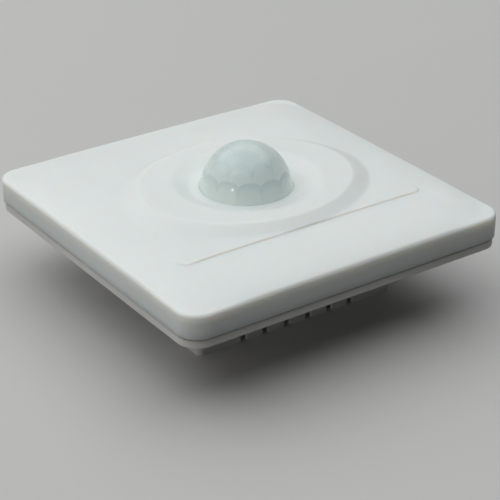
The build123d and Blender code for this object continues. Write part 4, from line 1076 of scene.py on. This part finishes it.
def makeLens(v):
    radius, centre, foot, footLevel = v["radius"], v["centre"], v["footRadius"], v["footLevel"]
    flange, low, back, e = v["flangeRadius"], v["flangeLevel"], v["backLevel"], v["flangeEdge"]
    start = tangentAngle(v, radius, foot)
    tangent = (radius * math.cos(start), centre + radius * math.sin(start))
    profile = [(foot, footLevel)]
    for i in range(1, v["coneSteps"]):
        s = i / v["coneSteps"]
        profile.append((foot + (tangent[0] - foot) * s, footLevel + (tangent[1] - footLevel) * s))
    for i in range(v["up"]):
        a = start + (math.pi / 2 - start) * i / v["up"]
        profile.append((radius * math.cos(a), centre + radius * math.sin(a)))
    inner, footIn = radius - v["wall"], foot - v["wall"]
    startIn = tangentAngle(v, inner, footIn)
    profile += [(0.0, centre + radius), (0.0, centre + inner)]
    for i in range(1, v["upInside"] + 1):
        a = math.pi / 2 - (math.pi / 2 - startIn) * i / v["upInside"]
        profile.append((inner * math.cos(a), centre + inner * math.sin(a)))
    profile += [
        (footIn, footLevel), (footIn, low + 0.1), (footIn + 0.1, low), (flange - e, low), (flange, low + e),
        (flange, back - e), (flange - e, back), (foot + 0.08, back), (foot, back + 0.08),
    ]
    shell = Shell()
    shell.turned(profile, (0.0, lensY, 0.0), v["around"], closed=True)
    return shell


def makeLensTree(values, rowCount):
    # Lens cells: rows of arches round a ball, a shallow groove between cells and a slight bulge in each
    tree, given, leave = newGeometryTree("lensCells", {**values, "Material": None})
    offset = vectorMath("SUBTRACT", outOf(addNode(tree, "GeometryNodeInputPosition")), given["Centre"])
    x, y, z = splitXyz(offset)
    flat = (x * x + y * y).math("SQRT")
    reach = (flat * flat + z * z).math("SQRT")
    azimuth = y.math("ARCTAN2", x) * (180 / math.pi)
    height = z.math("ARCTAN2", flat) * (180 / math.pi)
    narrow = (flat / reach).math("MAXIMUM", 0.05)
    perDegree = given["Radius"] * (math.pi / 180)
    gap, level, spots = given["Radius"] * 1.0, z * 0.0, []
    for n in range(1, rowCount + 1):
        width = given[f"Count {n}"].math("POWER", -1.0) * 360.0
        spot = (azimuth - given[f"Start {n}"]) / width
        side = abs(spot.math("FRACT") * 2.0 - 1.0)
        bow = (side * side).flip()
        rise = given[f"Peak {n}"] - given[f"Valley {n}"]
        arch = given[f"Valley {n}"] + rise * bow.math("MAXIMUM", 0.0).math("SQRT")
        slope = rise * side * 2.0 / width / bow.math("MAXIMUM", 0.08).math("SQRT") / narrow
        away = abs(height - arch) / (slope * slope + 1.0).math("SQRT") * perDegree
        gap = gap.math("MINIMUM", away)
        level = level + height.over(arch)
        spots.append((spot, width, arch))
    cell, shade = level.math("COMPARE", float(rowCount), 0.5) * 90.0, z * 0.0
    for n, (spot, width, arch) in enumerate(spots):
        count = given[f"Count {n + 1}"]
        inside = level.math("COMPARE", float(n), 0.5)
        phase = spot.math("FRACT")
        beside = phase.math("MINIMUM", phase.flip()) * width * perDegree * narrow
        gap = gap.math("MINIMUM", beside + inside.flip())
        cell = cell + inside * ((spot / count).math("FRACT") * count + 20.0 * n).math("FLOOR")
        shade = shade + inside * (arch - height).ramp(given["Shade angle"], 0.0)
    front = reach.over(given["Radius"] - given["Wall"] * 0.5)
    front = front * z.ramp(given["Foot"], given["Foot"] + 0.9 * mm)
    border = gap.ramp(given["Groove width"] * 1.4, 0.0) * front
    random = addNode(tree, "FunctionNodeRandomValue", {"data_type": "FLOAT"}, ID=cell, Seed=given["Seed"])
    shape = given["Geometry"]
    # facetShade is a painted shade share: 1 just under each cell's arch, fading out over the shade angle
    kept = {"facetTone": outOf(random, 1), "facetShade": shade, "facetBorder": border}
    for label, value in kept.items():
        shape = outOf(addNode(
            tree, "GeometryNodeStoreNamedAttribute", {"data_type": "FLOAT", "domain": "POINT"},
            Geometry=shape, Name=label, Value=value,
        ))
    shift = (gap.ramp(0.0, given["Groove width"]) - 1.0) * given["Groove depth"]
    shift = (shift + (gap.ramp(0.0, given["Cell reach"]) - 0.6) * given["Bulge"]) * front
    push = vectorMath("SCALE", vectorMath("NORMALIZE", offset), Scale=shift)
    moved = outOf(addNode(tree, "GeometryNodeSetPosition", Geometry=shape, Offset=push))
    return endTree(tree, given, leave, moved)


# pale and shaded are a lit and a shaded tone of one plastic; border darkens the grooves and crownShade the dome's
# top, both as painted shade
lensPlastic = {
    "pale": (0.45, 0.515, 0.50),
    "shaded": (0.34, 0.42, 0.425),
    "warm": (0.58, 0.57, 0.50),
    "warmShare": 0.25,
    "border": (0.36, 0.44, 0.45),
    "borderShare": 0.12,
    "crown": (0.0, 0.0, 15.0),
    "crownReach": 6.0,
    "crownShade": 0.85,
    "rough": (0.22, 0.34),
    "grain": 5200.0,
    "relief": 0.0012,
    "fixed": {
        "Coat Weight": 0.3, "Coat Roughness": 0.14, "Emission Strength": 0.4, "Subsurface Weight": 0.6,
        "Subsurface Radius": (1.0, 1.0, 0.9), "Subsurface Scale": 0.0015,
    },
}


def drawLensPlastic(tree, shader, v):
    # Milky plastic, a random tone for each cell, with painted shade: darker just under each cell's arch, along
    # the grooves between cells and over the top of the dome. Its emission is painted light, which stands in for
    # the light that the wall passes on from its far side
    moulded = useGroup(tree, "moulded", Grain_per_metre=v["grain"])
    facet, under, border = (
        outOf(addNode(tree, "ShaderNodeAttribute", {"attribute_name": name}), "Fac")
        for name in ("facetTone", "facetShade", "facetBorder")
    )
    high = splitPoint(tree, v["crown"])[2].ramp(0.0, v["crownReach"], smooth=False)
    paleness = (facet * 0.3 + under.flip() * 0.7) * (high * -v["crownShade"] + 1.0)
    colour = mixColour(paleness, v["shaded"], v["pale"])
    colour = mixColour(outOf(moulded, "Tone") * v["warmShare"], colour, v["warm"])
    colour = mixColour(border * v["borderShare"], colour, v["border"])
    sheen = outOf(moulded, "Sheen spread").ramp(*noiseSpan, *v["rough"], smooth=False)
    feed(shader, Base_Color=colour, Emission_Color=colour, Roughness=sheen)
    bump(shader, outOf(moulded, "Height"), v["relief"])


def growLens(v):
    # Runs the cells' tree on the plain shell, with lengths in metres
    values = {
        "Centre": (0.0, lensY * mm, v["centre"] * mm), "Radius": v["radius"] * mm, "Wall": v["wall"] * mm,
        "Foot": (v["footLevel"] - v["centre"]) * mm, "Groove depth": v["groove"] * mm, "Bulge": v["bulge"] * mm,
        "Groove width": v["grooveWidth"] * mm, "Cell reach": v["cellReach"] * mm,
        "Shade angle": v["shadeAngle"], "Seed": v["seed"],
    }
    for n, row in enumerate(v["rows"], 1):
        values.update({f"{key.capitalize()} {n}": float(value) for key, value in row.items()})
    shell, milky = makeLens(v), finishes["lensMilky"]
    seed = newPiece("lensSeed", shell.verts, shell.faces, milky)
    tree = makeLensTree(values, len(v["rows"]))
    return growPiece("lensDome", seed, tree, {**values, "Material": milky})


makeFinish("lensMilky", drawLensPlastic, lensPlastic)
dress(growLens(lensValues), "cover", ("lens_dome",))


def metres(place):
    return tuple(c * mm for c in place)


def growCopies(name, shell, kind, finish, values, smooth=True):
    seed = newPiece(name + "Seed", shell.verts, shell.faces, finishes[finish], smooth)
    return growPiece(name, seed, trees[kind], {**values, "Material": finishes[finish]})


def growGrid(name, shell, finish, v, replaced=(), smooth=True):
    # Copies in a grid: counts and pitch along X and Y, the middle's place, and the turn of each next row
    (columns, rows), (pitchX, pitchY) = v["count"], v["pitch"]
    values = {"Columns": columns, "Rows": rows, "Pitch X": pitchX * mm, "Pitch Y": pitchY * mm}
    values.update({"Place": metres(v["place"]), "Turn": v.get("turn", 0.0)})
    dress(growCopies(name, shell, "grid", finish, values, smooth), "base", replaced)


# Screws with a crossed recess and a rolled thread
screwKinds = {
    "small": {
        "head": 1.9, "height": 1.1, "arm": 1.05, "slot": 0.62, "depth": 0.6, "shank": 0.95, "core": 0.72,
        "pitch": 0.7,
    },
    "housing": {
        "head": 2.3, "height": 1.3, "arm": 1.35, "slot": 0.8, "depth": 0.8, "shank": 1.25, "core": 0.95,
        "pitch": 0.9,
    },
}
screwForm = {"around": 48, "crown": 0.28, "wall": 0.09, "edge": 0.05, "turnSteps": 7, "ridge": 3.2, "tip": 0.35}


def crossDistance(x, y, arm, slot):
    # Distance outside a cross, negative inside it
    ax, ay = np.abs(x), np.abs(y)
    return np.minimum(np.maximum(ax - slot / 2, ay - arm), np.maximum(ay - slot / 2, ax - arm))


def crossRing(arm, slot):
    # One quarter, turned four times
    h, points = slot / 2, []
    for cos, sin in ((1, 0), (0, 1), (-1, 0), (0, -1)):
        points += [(x * cos - y * sin, x * sin + y * cos) for x, y in ((h, h), (h, arm), (-h, arm))]
    return points


def makeScrew(v, length, form=screwForm):
    # Head up from level 0, thread down to the given length
    head, height, arm, slot = v["head"], v["height"], v["arm"], v["slot"]
    around, wall, e = form["around"], form["wall"], form["edge"]
    rings = [ovalRing(head * k, head * k, 0.0, 0.0, around) for k in (1.0, 0.985, 0.95, 0.88)]
    rings += [crossRing(arm, slot), crossRing(arm - wall, slot - 2 * wall)]
    flat, faces = triangulate(rings, [], lambda a, b: True)
    x, y = flat[:, 0], flat[:, 1]
    reach = np.minimum(np.hypot(x, y) / head, 1.0)
    inside = np.clip(-crossDistance(x, y, arm, slot) / wall, 0.0, 1.0)
    fall = form["crown"] * height * (1 - np.sqrt(np.maximum(1 - reach ** 4, 0.0)))
    shell = Shell()
    top = shell.add([tuple(p) for p in np.column_stack((flat, height - fall - v["depth"] * inside))], faces)
    loops = [top[:around], shell.add(circleAt(head, e, around)), shell.add(circleAt(head - e, 0.0, around))]
    steps = max(int(length / v["pitch"] * form["turnSteps"]), 8)
    for i in range(steps + 1):
        z = -length * i / steps
        taper = smoothStep(np.array([z + length]))[0] * (1 - form["tip"]) + form["tip"]
        ring = []
        for x, y, z in circleAt(1.0, z, around):
            turn = (z / v["pitch"] + len(ring) / around) % 1.0
            ridge = max(0.0, 1 - abs(turn - 0.5) * form["ridge"])
            radius = (v["core"] + (v["shank"] - v["core"]) * ridge) * taper
            ring.append((radius * x, radius * y, z))
        loops.append(shell.add(ring))
    shell.faces += joinLoops([list(reversed(loop)) for loop in loops]) + [tuple(reversed(loops[-1]))]
    return shell


def turnOver(shell):
    shell.verts = [(x, -y, -z) for x, y, z in shell.verts]
    return shell


boardScrews = {"count": (2, 2), "pitch": (45.2, 44.4), "place": (0.0, 0.0, 4.6), "length": 3.7}
housingScrews = {"count": (2, 2), "pitch": (46.2, 35.4), "place": (0.0, 0.0, -14.9), "length": 15.8}
ringScrews = {"count": 3, "start": -math.pi / 2, "level": 6.2, "length": 3.1}
screw = makeScrew(screwKinds["small"], boardScrews["length"])
growGrid("boardScrews", screw, "screwSteel", boardScrews, ("sensor_board_screws",))
screw = turnOver(makeScrew(screwKinds["housing"], housingScrews["length"]))
growGrid("housingScrews", screw, "screwSteel", housingScrews, ("housing_screws",))
screw = turnOver(makeScrew(screwKinds["small"], ringScrews["length"]))
dress(growCopies("ringScrews", screw, "ring", "screwSteel", {
    "Count": ringScrews["count"], "Radius": bossValues["circle"] * mm, "Start": ringScrews["start"],
    "Place": metres((0.0, lensY, ringScrews["level"])),
}), "cover", ("clamp_ring_screws",))

# Chip legs: a gull wing that runs out along +Y from the chip's side, down, and out again on the board
legValues = {
    "width": 0.42,
    "thick": 0.2,
    "path": [
        (-0.3, 0.85), (0.25, 0.85), (0.42, 0.78), (0.52, 0.62), (0.62, 0.3), (0.72, 0.17), (0.9, 0.1), (1.2, 0.1),
    ],
    "count": (8, 2),
    "pitch": (1.27, -4.0),
    "place": (-13.0, 17.3, 4.6),
    "turn": math.pi,
}


def makeLeg(v):
    path, t, w = v["path"], v["thick"] / 2, v["width"] / 2
    shell, loops = Shell(), []
    for i, (y, z) in enumerate(path):
        before, after = path[max(i - 1, 0)], path[min(i + 1, len(path) - 1)]
        dy, dz = after[0] - before[0], after[1] - before[1]
        size = math.hypot(dy, dz)
        ny, nz = -dz / size * t, dy / size * t
        loops.append(shell.add([
            (-w, y + ny, z + nz), (w, y + ny, z + nz), (w, y - ny, z - nz), (-w, y - ny, z - nz),
        ]))
    shell.faces += joinLoops([list(reversed(loop)) for loop in loops])
    shell.faces += [tuple(loops[0]), tuple(reversed(loops[-1]))]
    return shell


growGrid("chipLegs", makeLeg(legValues), "leadTin", legValues, ("signal_chip_pins",), smooth=False)

# Surface resistors: a dark slab between two tinned ends
resistorValues = {
    "size": (2.0, 1.25, 0.6), "end": 0.38, "slabInset": (0.2, 0.03, 0.04), "slabEdge": 0.03, "capDrop": 0.02,
    "capEdge": 0.05, "count": (3, 2), "pitch": (4.0, 2.61), "place": (-13.5, -19.5, 4.6),
}


def makeRounded(shell, low, high, e):
    # A box with its upper and side edges broken
    (x0, y0, z0), (x1, y1, z1) = low, high
    loops = []
    for inset, z in ((e, z0), (0.0, z0 + e), (0.0, z1 - e), (e * 0.4, z1 - e * 0.4), (e, z1)):
        a, b, c, d = x0 + inset, y0 + inset, x1 - inset, y1 - inset
        loops.append(shell.add([
            (a + e, b, z), (c - e, b, z), (c, b + e, z), (c, d - e, z),
            (c - e, d, z), (a + e, d, z), (a, d - e, z), (a, b + e, z),
        ]))
    shell.stack(loops)


def makeResistors(v):
    slab, caps = Shell(), Shell()
    (lx, ly, lz), (dx, dy, dz) = (c / 2 for c in v["size"]), v["slabInset"]
    makeRounded(slab, (-lx + dx, -ly + dy, dz), (lx - dx, ly - dy, 2 * lz), v["slabEdge"])
    for side in (-1, 1):
        near, far = sorted((side * lx, side * (lx - v["end"])))
        makeRounded(caps, (near, -ly, 0.0), (far, ly, 2 * lz - v["capDrop"]), v["capEdge"])
    growGrid("resistorSlabs", slab, "blackPlastic", v, ("surface_resistors",), smooth=False)
    growGrid("resistorEnds", caps, "leadTin", v, smooth=False)


makeResistors(resistorValues)

# Rectifier diodes: waisted black bodies, each with a pale ring at one end
diodeValues = {
    "radius": 1.35, "length": 5.0, "ring": (1.25, 1.95), "ringDepth": 0.08, "ringRise": 0.012, "around": 32,
    "count": (4, 1), "pitch": (4.2, 1000.0), "place": (6.4, -8.16, -5.45),
}


def turnAlongY(profile, count):
    shell = Shell()
    shell.turned(profile, (0, 0, 0), count)
    shell.verts = [(x, z, -y) for x, y, z in shell.verts]
    return shell


def makeDiodes(v):
    r, h, (low, high) = v["radius"], v["length"] / 2, v["ring"]
    inner, outer = r - v["ringDepth"], r + v["ringRise"]
    half = [(0.0, h), (r * 0.55, h), (r * 0.93, h - 0.2), (r, h - 0.55)]
    body = [(radius, -z) for radius, z in half] + [(r * 0.985, 0.0)] + half[::-1]
    ring = [(inner, low), (outer, low + 0.02), (outer, high - 0.02), (inner, high), (inner, low)]
    shell = turnAlongY(body, v["around"])
    growGrid("diodeBodies", shell, "blackPlastic", v, ("rectifier_diodes",))
    growGrid("diodeRings", turnAlongY(ring, v["around"]), "rotorWhite", v)


makeDiodes(diodeValues)

# Header pins: square brass pins with pointed ends
pinValues = {
    "half": 0.3, "tip": 0.12, "point": 0.5, "low": -4.8, "high": 2.2, "count": (6, 1), "pitch": (2.54, 1000.0),
    "place": (12.9, -14.85, 0.0),
}


def makePin(v):
    shell, loops = Shell(), []
    low, high, point = v["low"], v["high"], v["point"]
    for half, z in ((v["tip"], low), (v["half"], low + point), (v["half"], high - point), (v["tip"], high)):
        loops.append(shell.add([(-half, -half, z), (half, -half, z), (half, half, z), (-half, half, z)]))
    shell.stack(loops)
    return shell


growGrid("headerPins", makePin(pinValues), "brass", pinValues, ("header_pins",), smooth=False)

# Solder joints where the leads come through: the board's face level and the side they stand on
jointValues = {
    "powerJoints": {
        "level": -2.0, "side": 1.0, "foot": 0.95, "tip": 0.33, "height": 0.9,
        "places": [
            (6.34, 15.26), (-0.66, 15.26), (-7.66, 7.66), (-7.66, 15.26), (6.34, 7.66), (12.5, 0.79),
            (22.5, 0.79), (15.68, 11.46), (19.18, 11.46), (-11.15, -8.16), (-6.15, -8.16),
            *((x, y) for x in (12.7, 8.5, 4.3, 0.1) for y in (-4.26, -12.06)),
        ],
    },
    "sensorJoints": {
        "level": 3.0, "side": -1.0, "foot": 0.8, "tip": 0.33, "height": 0.8,
        "places": [(0.0, 1.44), (-2.54, -1.1), (2.54, -1.1), (7.65, -2.8), (7.65, 0.6)],
    },
}
for name, v in jointValues.items():
    points = Shell()
    points.add([(x, y, v["level"]) for x, y in v["places"]])
    piece = growCopies(name, points, "joints", "leadTin", {
        "Foot radius": v["foot"] * mm, "Tip radius": v["tip"] * mm, "Height": v["height"] * mm,
        "Waist share": 0.7, "Side": v["side"],
    })
    piece.data.polygons.foreach_set("use_smooth", [True] * len(piece.data.polygons))
    dress(piece, "base")

# Fuse wire inside its glass tube
fuseWire = {"half": 4.3, "radius": 0.09, "place": (-6.0, -17.39), "around": 12}


def makeFuseWire(v):
    half, radius, (right, up) = v["half"], v["radius"], v["place"]
    shell = Shell()
    shell.turned([(0.0, -half), (radius, -half), (radius, half), (0.0, half)], (0.0, 0.0, 0.0), v["around"])
    return [(z, y + up, x + right) for x, y, z in shell.verts], shell.faces


dress(newPiece("fuseWire", *makeFuseWire(fuseWire), finishes["leadTin"]), "base")

# Finishes of the CAD nodes that stay: a slot such as ring_white takes the finish ringWhite
finishes["lensFrosted"] = finishes["ringWhite"]
slotOf = {p["node"]: p["material_slot"] for p in frame["record"]["subparts"]}
for name, node in nodes.items():
    first, *others = slotOf[name].split("_")
    for place in node.material_slots:
        place.material = finishes[first + "".join(word.capitalize() for word in others)]
print("stage: finishes on", len(nodes), "nodes")

# Floor, lamps and world
stageValues = {
    "floorLevel": -16.4,
    "floorSize": 1600.0,
    "floorSeen": (0.56, 0.56, 0.555),
    "floorBounce": (0.045, 0.043, 0.04),
    "fixed": {"Roughness": 0.6, "Specular IOR Level": 0.2},
    "lamps": {
        "keyLamp": {"place": (-0.8, 0.45, 0.6), "size": 2.0, "power": 4.4, "tint": (1.0, 0.97, 0.94)},
        "topLamp": {"place": (0.0, 0.25, 1.0), "size": 2.4, "power": 17.0, "tint": (0.98, 1.0, 0.99)},
        "glintLamp": {"place": (-0.832, -0.333, 0.17), "size": 0.03, "power": 0.5, "tint": (1.0, 1.0, 1.0)},
    },
    "worldStrength": 0.045,
    "worldSeen": 0.5,
}


def seenRay(tree):
    # 1 for what the camera sees straight, in a reflection or through glass
    rays = addNode(tree, "ShaderNodeLightPath")
    direct = outOf(rays, "Is Camera Ray").math("MAXIMUM", outOf(rays, "Is Glossy Ray"))
    return direct.math("MAXIMUM", outOf(rays, "Is Transmission Ray"))


def drawFloor(tree, shader, v):
    feed(shader, Base_Color=mixColour(seenRay(tree), v["floorBounce"], v["floorSeen"]))


def makeStage(v):
    makeFinish("paleFloor", drawFloor, v)
    s, z = v["floorSize"] / 2, v["floorLevel"]
    corners = [(-s, -s, z), (s, -s, z), (s, s, z), (-s, s, z)]
    floor = newPiece("floor", corners, [(0, 1, 2, 3)], finishes["paleFloor"], smooth=False)
    for name, values in v["lamps"].items():
        data = bpy.data.lights.new(name, "AREA")
        data.shape, data.size, data.energy = "DISK", values["size"], values["power"]
        data.color = values["tint"]
        lamp = addToScene(name, data)
        lamp.visible_camera = False
        standAt(lamp, values["place"], Vector(values["place"]))
    world = bpy.data.worlds.new("studio")
    world.use_nodes = True
    strength = seenRay(world.node_tree).ramp(0.0, 1.0, v["worldStrength"], v["worldSeen"], smooth=False)
    feed(world.node_tree.nodes["Background"], Color=(1.0, 1.0, 1.0, 1.0), Strength=strength)
    bpy.context.scene.world = world


makeStage(stageValues)
bpy.context.scene.view_settings.view_transform = "Standard"
print("stage: floor and lamps")
